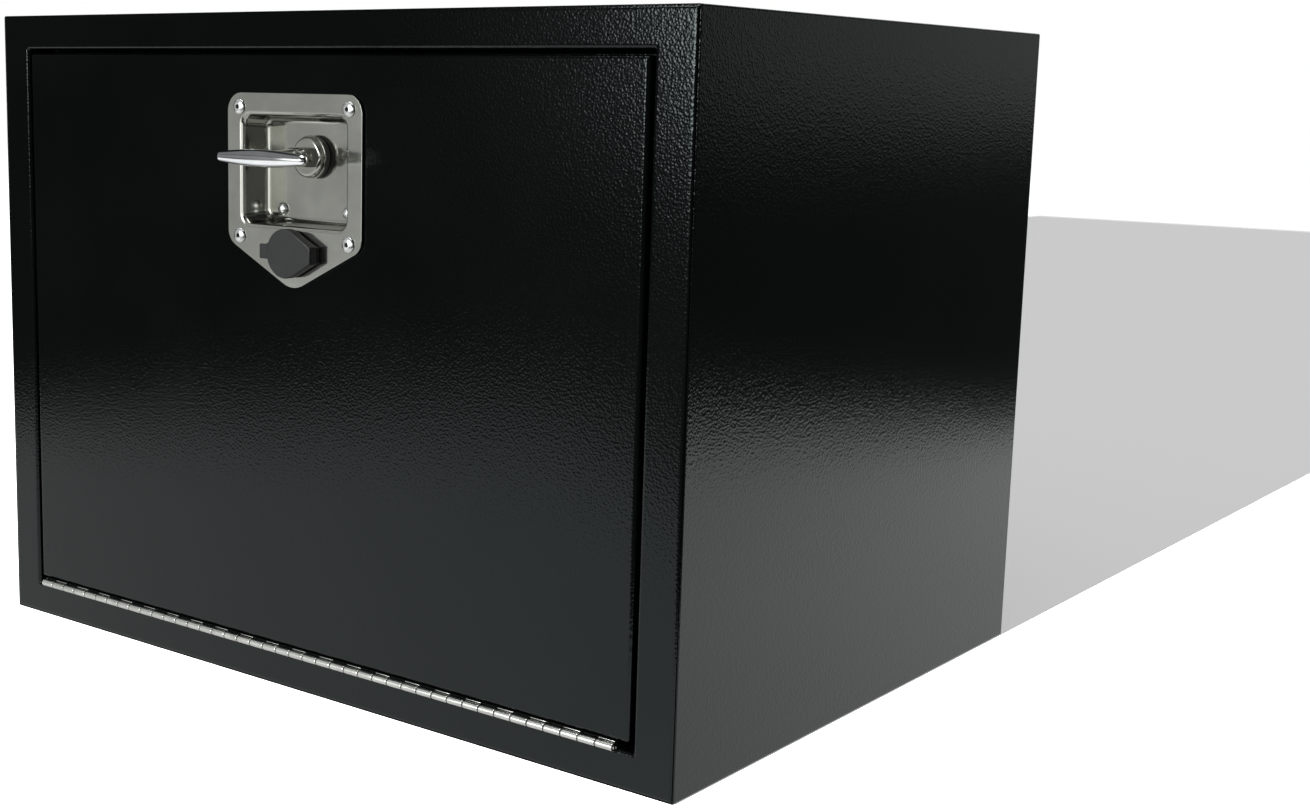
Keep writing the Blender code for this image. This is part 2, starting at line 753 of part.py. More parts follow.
def tray_sections(wall, lead):
    """Sections down a drawn tray. The wall is 0 on its front surface and the sheet on its back."""
    rim_centre = PLATE_FRONT + TRAY_FOLD_RADIUS
    floor_centre = FLOOR_FRONT - TRAY_FOLD_RADIUS
    stations = [(0, lead)]
    for step in range(FOLD_STEPS + 1):
        turn = math.pi / 2 * step / FOLD_STEPS
        radius = TRAY_FOLD_RADIUS - wall
        stations.append((radius * math.sin(turn), rim_centre - radius * math.cos(turn)))
    for step in range(FOLD_STEPS + 1):
        turn = math.pi / 2 * step / FOLD_STEPS
        radius = TRAY_FOLD_RADIUS + wall
        inward = 2 * TRAY_FOLD_RADIUS + TRAY_DRAFT - radius * math.cos(turn)
        stations.append((inward, floor_centre + radius * math.sin(turn)))
    sections = []
    for inward, y in stations:
        outline = rectangle(
            TRAY_HALF_WIDTH - inward,
            SPINDLE_Z - TRAY_BELOW + inward,
            SPINDLE_Z + TRAY_ABOVE - inward,
            TRAY_CORNER_RADIUS - inward / 2,
        )
        sections.append((outline, y))
    return sections


def latch_plate():
    made = plate("latch_plate", [plate_outline(0)], PLATE_FRONT, PLATE_BACK, "Y", STAINLESS)
    join(made, loft("tray_outside", tray_sections(PLATE_SHEET, PLATE_BACK - PLATE_SHEET / 2), (0, -1)))
    cut(made, loft("tray_inside", tray_sections(0, PLATE_FRONT - OVERRUN), (0, -1)))
    cut(made, hole("floor_bush_hole", BUSH_OUTER + SEAT, 0, SPINDLE_Z, FLOOR_FRONT, FLOOR_BACK))
    lock_radius = LOCK_BARREL_RADIUS + LOCK_BARREL_CLEARANCE
    cut(made, hole("plate_lock_hole", lock_radius, 0, LOCK_Z, PLATE_FRONT, PLATE_BACK))
    for index, (x, z) in enumerate(rivet_places()):
        radius = RIVET_SHANK_RADIUS + RIVET_HOLE_CLEARANCE
        cut(made, hole(f"plate_rivet_hole_{index}", radius, x, z, PLATE_FRONT, PLATE_BACK, SMALL_SIDES))
    for side, label in SIDES:
        radius = TRAY_RIVET_SHANK_RADIUS + RIVET_HOLE_CLEARANCE
        x, z = side * TRAY_RIVET_SIDE, SPINDLE_Z - TRAY_RIVET_BELOW
        cut(made, hole(f"floor_rivet_hole_{label}", radius, x, z, FLOOR_FRONT, FLOOR_BACK, SMALL_SIDES))
    return made


def latch_gasket():
    margin = CUTOUT_CLEARANCE
    tray = rectangle(
        TRAY_HALF_WIDTH + margin,
        SPINDLE_Z - TRAY_BELOW - margin,
        SPINDLE_Z + TRAY_ABOVE + margin,
        TRAY_CORNER_RADIUS + margin,
    )
    lock = circle(0, LOCK_Z, LOCK_BARREL_RADIUS + LOCK_BARREL_CLEARANCE, MEDIUM_SIDES)
    radius = RIVET_SHANK_RADIUS + RIVET_HOLE_CLEARANCE
    rivets = [circle(x, z, radius, SMALL_SIDES) for x, z in rivet_places()]
    outlines = [plate_outline(GASKET_INSET), tray, lock, *rivets]
    return plate("latch_gasket", outlines, GASKET_BACK - GASKET_SHEET, GASKET_BACK, "Y", RUBBER)


def dome(radius, height, seat):
    """(radius, depth) pairs from the top of a low dome to its rim, which lies at the seat."""
    turns = [math.pi / 2 * step / ARC_STEPS for step in range(ARC_STEPS + 1)]
    return [(radius * math.sin(turn), seat - height * math.cos(turn)) for turn in turns]


def plate_rivets():
    """Blind rivets: a domed head with the eye of its mandrel, a shank and a bulbed tail behind the skin."""
    seat = PLATE_FRONT - SEAT
    top = seat - RIVET_HEAD_HEIGHT
    tail = FRONT + SHEET + SEAT
    eye = [(RIVET_EYE_RADIUS, top + RIVET_EYE_DEPTH), (RIVET_EYE_RADIUS, top)]
    shank = [(RIVET_SHANK_RADIUS, seat), (RIVET_SHANK_RADIUS, tail)]
    bulb = [(RIVET_TAIL_RADIUS, tail), (RIVET_TAIL_RADIUS, tail + RIVET_TAIL_LENGTH)]
    profile = eye + dome(RIVET_HEAD_RADIUS, RIVET_HEAD_HEIGHT, seat)[2:] + shank + bulb
    return [
        turned(f"plate_rivet_{index}", profile, 0, (x, 0, z), (0, 1, 0), SMALL_SIDES, ALUMINIUM)
        for index, (x, z) in enumerate(rivet_places(), 1)
    ]


def tray_rivets():
    """Solid rivets that hold the bearing plate behind the tray's floor."""
    seat = FLOOR_FRONT - SEAT
    tail = BEARING_BACK + SEAT
    shank = [(TRAY_RIVET_SHANK_RADIUS, seat), (TRAY_RIVET_SHANK_RADIUS, tail)]
    peen = [(PEEN_RADIUS, tail), (PEEN_RADIUS, tail + PEEN_HEIGHT)]
    profile = dome(TRAY_RIVET_HEAD_RADIUS, TRAY_RIVET_HEAD_HEIGHT, seat) + shank + peen
    made = []
    for side, label in SIDES:
        place = (side * TRAY_RIVET_SIDE, 0, SPINDLE_Z - TRAY_RIVET_BELOW)
        made.append(turned(f"tray_rivet_{label}", profile, 0, place, (0, 1, 0), SMALL_SIDES, ALUMINIUM))
    return made


# Bearing, spindle and latch arm

def bearing_plate():
    outline = rectangle(
        BEARING_HALF_WIDTH, SPINDLE_Z - BEARING_BELOW, SPINDLE_Z + BEARING_ABOVE, BEARING_CORNER_RADIUS
    )
    bush = circle(0, SPINDLE_Z, BUSH_OUTER + SEAT, MEDIUM_SIDES)
    radius = TRAY_RIVET_SHANK_RADIUS + RIVET_HOLE_CLEARANCE
    z = SPINDLE_Z - TRAY_RIVET_BELOW
    rivets = [circle(side * TRAY_RIVET_SIDE, z, radius, SMALL_SIDES) for side, label in SIDES]
    return plate("bearing_plate", [outline, bush, *rivets], BEARING_FRONT, BEARING_BACK, "Y", ZINC)


def spindle_bush():
    """A flanged bush that the spindle turns in."""
    profile = [
        (BUSH_OUTER, FLOOR_FRONT),
        (BUSH_OUTER, BEARING_BACK + SEAT),
        (BUSH_FLANGE_RADIUS, BEARING_BACK + SEAT),
        (BUSH_FLANGE_RADIUS, BUSH_BACK),
    ]
    bore = SPINDLE_RADIUS + BUSH_RUNNING_CLEARANCE
    return turned("spindle_bush", profile, bore, (0, 0, SPINDLE_Z), (0, 1, 0), FINE_SIDES, ZINC)


def hub_spindle():
    """A turned head with a fork for the handle, its spindle, a square for the arm and a thread."""
    disc_back = HUB_FRONT + HUB_DISC_LENGTH
    ring_front = disc_back + HUB_GROOVE_LENGTH
    ring_back = ring_front + HUB_RING_LENGTH
    profile = [
        (HUB_RADIUS - HUB_EDGE_RADIUS, HUB_FRONT),
        (HUB_RADIUS, HUB_FRONT + HUB_EDGE_RADIUS),
        (HUB_RADIUS, disc_back),
        (HUB_GROOVE_RADIUS, disc_back),
        (HUB_GROOVE_RADIUS, ring_front),
        (HUB_RING_RADIUS, ring_front),
        (HUB_RING_RADIUS, ring_back),
        (SPINDLE_RADIUS, ring_back),
        (SPINDLE_RADIUS, WASHER_BACK),
        (THREAD_RADIUS, WASHER_BACK),
        (THREAD_RADIUS, ARM_BACK + THREAD_LENGTH),
    ]
    made = turned("hub_spindle", profile, 0, (0, 0, SPINDLE_Z), (0, 1, 0), FINE_SIDES, CHROME)
    outline = half_round((PIVOT_Y, SPINDLE_Z), FORK_RADIUS, HUB_FRONT + HUB_DISC_LENGTH / 2)
    fork = plate("fork", [outline], -FORK_HALF_WIDTH, FORK_HALF_WIDTH, "X")
    slot_low = (-FORK_SLOT_HALF, PIVOT_Y - FORK_RADIUS - OVERRUN, SPINDLE_Z - HUB_RADIUS)
    slot_high = (FORK_SLOT_HALF, HUB_FRONT - SEAT, SPINDLE_Z + HUB_RADIUS)
    square_low = (-SQUARE_HALF, WASHER_BACK - OVERRUN, SPINDLE_Z - SQUARE_HALF)
    square_high = (SQUARE_HALF, ARM_BACK, SPINDLE_Z + SQUARE_HALF)
    join(made, fork, block("spindle_square", square_low, square_high))
    cut(made, block("fork_slot", slot_low, slot_high), pivot_hole("fork_hole"))
    return made


def pivot_hole(name):
    """A cutter for the pivot pin's hole, across the fork and the handle's tongue."""
    reach = FORK_HALF_WIDTH + OVERRUN
    radius = PIVOT_PIN_RADIUS + PIVOT_PIN_CLEARANCE
    return rod(name, radius, (-reach, PIVOT_Y, SPINDLE_Z), (reach, PIVOT_Y, SPINDLE_Z), MEDIUM_SIDES)


def hub_ring_seal():
    profile = [(RING_SEAL_RADIUS, RING_SEAL_FRONT), (RING_SEAL_RADIUS, RING_SEAL_FRONT + RING_SEAL_LENGTH)]
    bore = SPINDLE_RADIUS + SEAT
    return turned("hub_ring_seal", profile, bore, (0, 0, SPINDLE_Z), (0, 1, 0), FINE_SIDES, RUBBER)


def washer(name, radius, bore, front, back):
    profile = [(radius, front), (radius, back)]
    return turned(name, profile, bore, (0, 0, SPINDLE_Z), (0, 1, 0), MEDIUM_SIDES, ZINC)


def hexagon(across_flats, z):
    return circle(0, z, across_flats / math.sqrt(3), 6)


def square(z, half):
    return rounded([(-half, z - half, 0), (half, z - half, 0), (half, z + half, 0), (-half, z + half, 0)])


def latch_arm():
    """A crank: one end reaches behind the frame when latched, the short tail meets the lock's tongue."""
    ends = [(-TAIL_ANGLE, TAIL_LENGTH, TAIL_RADIUS), (math.pi, ARM_LENGTH, ARM_TIP_RADIUS)]
    outlines = [crank((0, SPINDLE_Z), ARM_HUB_RADIUS, ends), square(SPINDLE_Z, SQUARE_HALF + SQUARE_CLEARANCE)]
    return plate("latch_arm", outlines, ARM_FRONT, ARM_BACK, "Y", ZINC)


def arm_fasteners():
    washer_back = ARM_BACK + SEAT + WASHER_SHEET
    bore = THREAD_RADIUS + SEAT
    nut_front = washer_back + SEAT
    thrust = washer("thrust_washer", WASHER_RADIUS, SPINDLE_RADIUS + SEAT, BUSH_BACK + SEAT, WASHER_BACK)
    lock = washer("arm_lock_washer", LOCK_WASHER_RADIUS, bore, ARM_BACK + SEAT, washer_back)
    outlines = [hexagon(NUT_ACROSS_FLATS, SPINDLE_Z), circle(0, SPINDLE_Z, bore, SMALL_SIDES)]
    nut = plate("arm_nut", outlines, nut_front, nut_front + NUT_HEIGHT, "Y", ZINC)
    return [thrust, lock, nut]


# Folding T-handle

def pivot_pin():
    inner = FORK_HALF_WIDTH + SEAT
    outer = inner + PIVOT_PIN_HEAD_HEIGHT
    profile = [
        (PIVOT_PIN_HEAD_RADIUS, -outer),
        (PIVOT_PIN_HEAD_RADIUS, -inner),
        (PIVOT_PIN_RADIUS, -inner),
        (PIVOT_PIN_RADIUS, inner),
        (PIVOT_PIN_HEAD_RADIUS, inner),
        (PIVOT_PIN_HEAD_RADIUS, outer),
    ]
    return turned("pivot_pin", profile, 0, (0, PIVOT_Y, SPINDLE_Z), (1, 0, 0), SMALL_SIDES, CHROME)


def t_handle():
    """A tapered round bar on a shank whose tongue turns in the fork."""
    grip_y = PIVOT_Y - HANDLE_REACH
    half_profile = []
    for step in range(ARC_STEPS + 1):
        share = step / ARC_STEPS
        radius = HANDLE_END_RADIUS + (HANDLE_RADIUS - HANDLE_END_RADIUS) * math.sin(math.pi / 2 * share)
        half_profile.append((radius, -(HANDLE_HALF_LENGTH - HANDLE_END_RADIUS) * (1 - share)))
    nose = [(radius, rise - HANDLE_HALF_LENGTH + HANDLE_END_RADIUS)
            for radius, rise in dome(HANDLE_END_RADIUS, HANDLE_END_RADIUS, 0)]
    left = nose[:-1] + half_profile
    right = [(radius, -distance) for radius, distance in left[-2::-1]]
    made = turned("t_handle", left + right, 0, (0, grip_y, SPINDLE_Z), (1, 0, 0), MEDIUM_SIDES, CHROME)
    join(made, shank(grip_y), tongue())
    cut(made, pivot_hole("tongue_hole"))
    return made


def shank(grip_y):
    """A squarish neck that widens into a web where it meets the bar."""
    sections = []
    for half_width, half_height, y in (
        (WEB_HALF_WIDTH, WEB_HALF_HEIGHT, grip_y),
        (SHANK_WAIST_HALF, SHANK_WAIST_HALF, PIVOT_Y - SHANK_WAIST),
        (SHANK_HALF, SHANK_HALF, PIVOT_Y - SHANK_START),
    ):
        outline = rectangle(half_width, SPINDLE_Z - half_height, SPINDLE_Z + half_height, SHANK_CORNER_RADIUS)
        sections.append((outline, y))
    return loft("handle_shank", sections, (0, -1))


def tongue():
    outline = half_round((PIVOT_Y, SPINDLE_Z), TONGUE_RADIUS, PIVOT_Y - SHANK_START - OVERRUN)
    return plate("handle_tongue", [outline], -TONGUE_HALF, TONGUE_HALF, "X")


# Keyed lock

def lock_barrel():
    profile = [
        (BARREL_FLANGE_RADIUS, BARREL_FLANGE_FRONT),
        (BARREL_FLANGE_RADIUS, BASE_FRONT - SEAT),
        (LOCK_BARREL_RADIUS, BASE_FRONT - SEAT),
        (LOCK_BARREL_RADIUS, LOCK_BARREL_BACK),
    ]
    bore = PLUG_RADIUS + PLUG_CLEARANCE
    return turned("lock_barrel", profile, bore, (0, 0, LOCK_Z), (0, 1, 0), MEDIUM_SIDES, CHROME)


def lock_nut():
    front = FRONT + SHEET + SEAT
    bore = circle(0, LOCK_Z, LOCK_BARREL_RADIUS + SEAT, MEDIUM_SIDES)
    outlines = [hexagon(LOCK_NUT_ACROSS_FLATS, LOCK_Z), bore]
    return plate("lock_nut", outlines, front, front + LOCK_NUT_HEIGHT, "Y", ZINC)


def lock_plug():
    """The turning core: a keyway in front, a square for the tongue and a screw hole behind."""
    end = ARM_FRONT - SEAT
    profile = [(PLUG_RADIUS, BARREL_FLANGE_FRONT), (PLUG_RADIUS, end)]
    made = turned("lock_plug", profile, 0, (0, 0, LOCK_Z), (0, 1, 0), MEDIUM_SIDES, ZINC)
    half = PLUG_SQUARE_HALF
    low, high = (-half, end - OVERRUN, LOCK_Z - half), (half, ARM_BACK, LOCK_Z + half)
    join(made, block("plug_square", low, high))
    low = (-KEYWAY_WIDTH / 2, BARREL_FLANGE_FRONT - OVERRUN, LOCK_Z - KEYWAY_HEIGHT / 2)
    high = (KEYWAY_WIDTH / 2, BARREL_FLANGE_FRONT + KEYWAY_DEPTH, LOCK_Z + KEYWAY_HEIGHT / 2)
    radius = SCREW_RADIUS + SEAT
    screw_hole = rod("plug_screw_hole", radius, (0, ARM_BACK - SCREW_DEPTH - SEAT, LOCK_Z),
                     (0, ARM_BACK + OVERRUN, LOCK_Z), SMALL_SIDES)
    cut(made, block("keyway", low, high), screw_hole)
    return made


def lock_tongue():
    """The bar on the back of the plug, which blocks the crank's tail when it points up."""
    bar = crank((0, LOCK_Z), TONGUE_ARM_RADIUS, [(math.pi, TONGUE_ARM_LENGTH, TONGUE_TIP_RADIUS)])
    outlines = [bar, square(LOCK_Z, PLUG_SQUARE_HALF + SQUARE_CLEARANCE)]
    return plate("lock_tongue", outlines, ARM_FRONT, ARM_BACK, "Y", ZINC)


def tongue_screw():
    seat = ARM_BACK + SEAT
    profile = [
        (SCREW_RADIUS, ARM_BACK - SCREW_DEPTH),
        (SCREW_RADIUS, seat),
        (SCREW_HEAD_RADIUS, seat),
        (SCREW_HEAD_RADIUS, seat + SCREW_HEAD_HEIGHT),
    ]
    return turned("tongue_screw", profile, 0, (0, 0, LOCK_Z), (0, 1, 0), SMALL_SIDES, ZINC)


def hinged_outline(radius, hinge_half_height, inset=0):
    """A round outline drawn out to a straight hinge edge on its right."""
    radius, half, reach = radius - inset, hinge_half_height - inset, COVER_HINGE_REACH - inset
    lean = math.atan2(half, reach) + math.acos(radius / math.hypot(half, reach))
    turns = [lean + (2 * math.pi - 2 * lean) * step / FINE_SIDES for step in range(FINE_SIDES + 1)]
    outline = [Vector((radius * math.cos(turn), LOCK_Z + radius * math.sin(turn))) for turn in turns]
    return outline + [Vector((reach, LOCK_Z - half)), Vector((reach, LOCK_Z + half))]


def lock_cover_base():
    """The strap of the cover that is held under the barrel's flange."""
    hole_outline = circle(0, LOCK_Z, LOCK_BARREL_RADIUS + SEAT, MEDIUM_SIDES)
    outlines = [hinged_outline(BASE_RADIUS, BASE_HINGE_HALF_HEIGHT), hole_outline]
    return plate("lock_cover_base", outlines, BASE_FRONT, BASE_FRONT + BASE_SHEET, "Y", RUBBER)


def lock_cover():
    """A moulded cap over the plug, with a pull tab on its left."""
    sections = [(hinged_outline(COVER_RADIUS, COVER_HINGE_HALF_HEIGHT), COVER_BACK)]
    for step in range(FOLD_STEPS + 1):
        turn = math.pi / 2 * step / FOLD_STEPS
        inset = COVER_EDGE_RADIUS * (1 - math.cos(turn))
        y = COVER_FRONT + COVER_EDGE_RADIUS * (1 - math.sin(turn))
        sections.append((hinged_outline(COVER_RADIUS, COVER_HINGE_HALF_HEIGHT, inset), y))
    made = loft("lock_cover", sections, (0, -1), RUBBER)
    low = (-COVER_TAB_REACH, COVER_BACK - COVER_TAB_SHEET, LOCK_Z - COVER_TAB_HALF_HEIGHT)
    high = (-COVER_HOLLOW_RADIUS - OVERRUN / 2, COVER_BACK - SEAT, LOCK_Z + COVER_TAB_HALF_HEIGHT)
    join(made, block("cover_tab", low, high))
    front, back = (0, COVER_BACK - COVER_HOLLOW_DEPTH, LOCK_Z), (0, COVER_BACK + OVERRUN, LOCK_Z)
    cut(made, rod("cover_hollow", COVER_HOLLOW_RADIUS, front, back, FINE_SIDES))
    return made


# Door stays

def angle_piece(name, wall, back, weld, sheet, end, middle, half_height, side, finish):
    """An L of sheet: a leg along the weld plane and a leg that runs back beside the stay."""
    outline = [
        (wall, back),
        (wall + weld, back),
        (wall + weld, back + sheet),
        (wall + sheet, back + sheet),
        (wall + sheet, end),
        (wall, end),
    ]
    outline = [Vector((side * x, y)) for x, y in outline]
    return plate(name, [outline], middle - half_height, middle + half_height, "Z", finish)


def cross_hole(name, radius, side, low, high, y, z):
    return rod(name, radius, (side * (low - OVERRUN), y, z), (side * (high + OVERRUN), y, z), SMALL_SIDES)


def stay_lug(side, label):
    """Welded to the door's inner pan, it carries the pivot of the stay."""
    wall = STAY_SIDE + STAY_SHEET / 2 + LUG_TO_ARM
    end = STAY_PIVOT_Y + LUG_END
    made = angle_piece(f"stay_lug_{label}", wall, DOOR_BACK + SEAT, LUG_WELD_FLANGE, LUG_SHEET, end,
                       STAY_PIVOT_Z, LUG_HALF_HEIGHT, side, ZINC)
    cut(made, cross_hole(f"lug_hole_{label}", TENON_RADIUS + SEAT, side, wall, wall + LUG_SHEET,
                         STAY_PIVOT_Y, STAY_PIVOT_Z))
    return made


def stay_bracket(side, label):
    """Welded behind the stop flange, it carries the stud that the stay's slot runs on."""
    wall = OPENING_HALF - STOP_FLANGE + SEAT
    back = STOP_FRONT + SHEET + SEAT
    end = STAY_STUD_Y + BRACKET_END
    made = angle_piece(f"stay_bracket_{label}", wall, back, BRACKET_WELD_FLANGE, LUG_SHEET, end,
                       STAY_STUD_Z, BRACKET_HALF_HEIGHT, side, ZINC)
    cut(made, cross_hole(f"bracket_hole_{label}", TENON_RADIUS + SEAT, side, wall, wall + LUG_SHEET,
                         STAY_STUD_Y, STAY_STUD_Z))
    return made


def stay_pin(name, side, wall, y, z):
    """A shouldered pin: head, shank through the stay, shoulder, tenon through the wall and peened end."""
    arm_inner = STAY_SIDE - STAY_SHEET / 2 - SEAT
    arm_outer = STAY_SIDE + STAY_SHEET / 2 + SEAT
    wall_back = wall + LUG_SHEET + SEAT
    profile = [
        (STUD_HEAD_RADIUS, arm_inner - STUD_HEAD_HEIGHT),
        (STUD_HEAD_RADIUS, arm_inner),
        (STUD_RADIUS, arm_inner),
        (STUD_RADIUS, arm_outer),
    ]
    if wall - SEAT > arm_outer + SEAT:
        profile += [(STUD_SHOULDER_RADIUS, arm_outer), (STUD_SHOULDER_RADIUS, wall - SEAT)]
    tenon = [(TENON_RADIUS, profile[-1][1]), (TENON_RADIUS, wall_back)]
    profile += tenon + [(PEEN_RADIUS, wall_back), (PEEN_RADIUS, wall_back + PEEN_HEIGHT)]
    return turned(name, profile, 0, (0, y, z), (side, 0, 0), SMALL_SIDES, ZINC)


def stay_arm(side, label):
    """A slotted bar from the door's pivot past the stud on the box.

    Pivot and stud lie on one circle about the hinge, so the bar turns by half the door's angle,
    and the distance between them is twice the radius times the sine of half the angle between them.
    """
    pivot = Vector((STAY_PIVOT_Y, STAY_PIVOT_Z))
    stud = Vector((STAY_STUD_Y, STAY_STUD_Z))
    along = (stud - pivot).normalized()
    closed = (stud - pivot).length
    opened = 2 * STAY_RADIUS * math.sin(math.asin(closed / 2 / STAY_RADIUS) + STAY_OPEN_ANGLE / 2)
    slot_half = STUD_RADIUS + STAY_HOLE_CLEARANCE
    bar = slot_outline(pivot, pivot + along * opened, STAY_HALF_WIDTH)
    slot = slot_outline(pivot + along * closed, pivot + along * opened, slot_half)
    eye = circle(pivot.x, pivot.y, slot_half, SMALL_SIDES)
    low, high = sorted((side * (STAY_SIDE - STAY_SHEET / 2), side * (STAY_SIDE + STAY_SHEET / 2)))
    return plate(f"stay_arm_{label}", [bar, slot, eye], low, high, "X", ZINC)


def stays():
    """Both stays, as the pieces on the box, the pieces on the door and the two bars."""
    lug_wall = STAY_SIDE + STAY_SHEET / 2 + LUG_TO_ARM
    bracket_wall = OPENING_HALF - STOP_FLANGE + SEAT
    on_box, on_door, bars = [], [], []
    for side, label in SIDES:
        on_box.append(stay_bracket(side, label))
        on_box.append(stay_pin(f"stay_stud_{label}", side, bracket_wall, STAY_STUD_Y, STAY_STUD_Z))
        on_door.append(stay_lug(side, label))
        on_door.append(stay_pin(f"stay_pivot_{label}", side, lug_wall, STAY_PIVOT_Y, STAY_PIVOT_Z))
        bars.append(stay_arm(side, label))
    return on_box, on_door, bars


# Assembly

def build():
    body_shell()
    back_panel()
    door_seal()
    frame_leaf, door_leaf, pin = hinge()
    stays_on_box, stays_on_door, bars = stays()
    door = [door_leaf, door_skin(), door_inner_pan(), latch_gasket(), latch_plate(), bearing_plate(),
            spindle_bush(), lock_barrel(), lock_nut(), lock_cover_base()]
    door += plate_rivets() + tray_rivets() + stays_on_door
    door_axis = carry("door_axis", (0, HINGE_Y, HINGE_Z), door)
    for (side, label), bar in zip(SIDES, bars):
        carry(f"stay_axis_{label}", (side * STAY_SIDE, STAY_PIVOT_Y, STAY_PIVOT_Z), [bar], door_axis)
    spindle = [hub_spindle(), hub_ring_seal(), latch_arm(), pivot_pin()] + arm_fasteners()
    spindle_axis = carry("spindle_axis", (0, FRONT, SPINDLE_Z), spindle, door_axis)
    carry("handle_axis", (0, PIVOT_Y, SPINDLE_Z), [t_handle()], spindle_axis)
    carry("plug_axis", (0, FRONT, LOCK_Z), [lock_plug(), lock_tongue(), tongue_screw()], door_axis)
    carry("cover_axis", (COVER_HINGE_REACH + COVER_HINGE_GAP, COVER_BACK, LOCK_Z), [lock_cover()], door_axis)


build()
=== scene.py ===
import math

import bmesh
import bpy
import numpy as np
from mathutils import Matrix, Vector


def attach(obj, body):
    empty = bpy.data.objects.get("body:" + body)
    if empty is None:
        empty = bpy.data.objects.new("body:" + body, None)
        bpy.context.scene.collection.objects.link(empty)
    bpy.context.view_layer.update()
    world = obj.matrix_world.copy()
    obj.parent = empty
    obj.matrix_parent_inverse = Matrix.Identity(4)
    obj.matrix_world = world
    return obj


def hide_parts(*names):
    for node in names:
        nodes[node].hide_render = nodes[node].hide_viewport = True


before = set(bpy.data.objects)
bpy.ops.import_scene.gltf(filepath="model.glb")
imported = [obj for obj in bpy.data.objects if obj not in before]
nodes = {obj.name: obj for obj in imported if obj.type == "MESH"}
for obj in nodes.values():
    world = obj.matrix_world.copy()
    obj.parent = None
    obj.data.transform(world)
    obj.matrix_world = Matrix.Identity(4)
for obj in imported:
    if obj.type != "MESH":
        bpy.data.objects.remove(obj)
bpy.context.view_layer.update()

# Lengths here are millimetres: y is 0 on the front of the box and grows into it, z is 0 on its bottom
frontDepth = 225  # from the middle of the box to its front


# Millimetres of this script to metres of the frame
def toFrame(points):
    return (np.asarray(points, float) - (0, frontDepth, 0)) / 1000


# Materials: all of them are procedural, and their patterns have sizes in millimetres


# A colour written as on screen, made linear: ((c + 0.055) / 1.055) ** 2.4
def linearColour(text):
    parts = np.array([int(text[place:place + 2], 16) for place in (0, 2, 4)]) / 255
    linear = np.where(parts <= 0.04045, parts / 12.92, ((parts + 0.055) / 1.055) ** 2.4)
    return (*(float(value) for value in linear), 1)


# One node with its settings. Inputs are values or other nodes' outputs
def addNode(tree, kind, inputs=None, **settings):
    node = tree.nodes.new(kind)
    for key, value in settings.items():
        setattr(node, key, value)
    for key, value in (inputs or {}).items():
        if isinstance(value, bpy.types.NodeSocket):
            tree.links.new(value, node.inputs[key])
        else:
            node.inputs[key].default_value = value
    return node


# The emptied node tree of a material, world or lamp
def emptyTree(owner):
    owner.use_nodes = True
    owner.node_tree.nodes.clear()
    return owner.node_tree


# A new material with its node tree, and the place on the piece in metres
def startMaterial(name):
    material = bpy.data.materials.new(name)
    tree = emptyTree(material)
    return material, tree, addNode(tree, "ShaderNodeTexCoord").outputs["Object"]


def endMaterial(tree, shader):
    addNode(tree, "ShaderNodeOutputMaterial", {"Surface": shader})


# Noise of a size in millimetres across one blotch, spread to 0..1 between two of its values
def blotches(tree, coordinates, size, detail=2, low=0.35, high=0.65):
    scale = 1000 / size
    noise = addNode(tree, "ShaderNodeTexNoise", {"Vector": coordinates, "Scale": scale, "Detail": detail})
    noise = noise.outputs["Fac"]
    level = addNode(tree, "ShaderNodeMapRange", {"Value": noise, "From Min": low, "From Max": high})
    return level.outputs["Result"]


# Two screen colours mixed by a factor: 6, 7 and output 2 are the node's sockets for colours
def mixColours(tree, factor, first, second):
    mixed = addNode(tree, "ShaderNodeMix", {"Factor": factor}, data_type="RGBA")
    for socket, colour in ((6, first), (7, second)):
        mixed.inputs[socket].default_value = linearColour(colour)
    return mixed.outputs[2]


# A 0..1 value stretched to low..high
def spread(tree, value, low, high):
    result = addNode(tree, "ShaderNodeMapRange", {"Value": value, "To Min": low, "To Max": high})
    return result.outputs["Result"]


# Relief with a depth in millimetres, over another relief if there is one
def bump(tree, height, strength, depth, below=None):
    inputs = {"Height": height, "Strength": strength, "Distance": depth / 1000}
    if below:
        inputs["Normal"] = below
    return addNode(tree, "ShaderNodeBump", inputs).outputs["Normal"]


coat = {
    "dark": "060707",
    "light": "0b0c0c",
    "pebble": 1.65,  # mm across one pebble of the coat
    "grain": 0.9,
    "cloud": 90,
    "pebbleDepth": 0.098,
    "grainDepth": 0.010,
    "roughness": (0.12, 0.16),
    "sheen": "d5e4e3",  # tint of its gloss
}


# Textured black polyester powder coat, baked on steel: it flows into low pebbles with a finer grain
def powderCoat():
    material, tree, place = startMaterial("texturedPowderCoat")
    pebbles = addNode(tree, "ShaderNodeTexVoronoi", {
        "Vector": place, "Scale": 1000 / coat["pebble"], "Smoothness": 0.5,
    }, feature="SMOOTH_F1").outputs["Distance"]
    grain = blotches(tree, place, coat["grain"], low=0.3, high=0.7)
    cloud = blotches(tree, place, coat["cloud"], detail=3)
    colour = mixColours(tree, spread(tree, cloud, 0.2, 0.8), coat["dark"], coat["light"])
    surface = bump(tree, pebbles, 1, coat["pebbleDepth"])
    surface = bump(tree, grain, 1, coat["grainDepth"], surface)
    shader = addNode(tree, "ShaderNodeBsdfPrincipled", {
        "Base Color": colour, "Roughness": spread(tree, grain, *coat["roughness"]), "Normal": surface,
        "Specular Tint": linearColour(coat["sheen"]),
    })
    endMaterial(tree, shader.outputs[0])
    return material


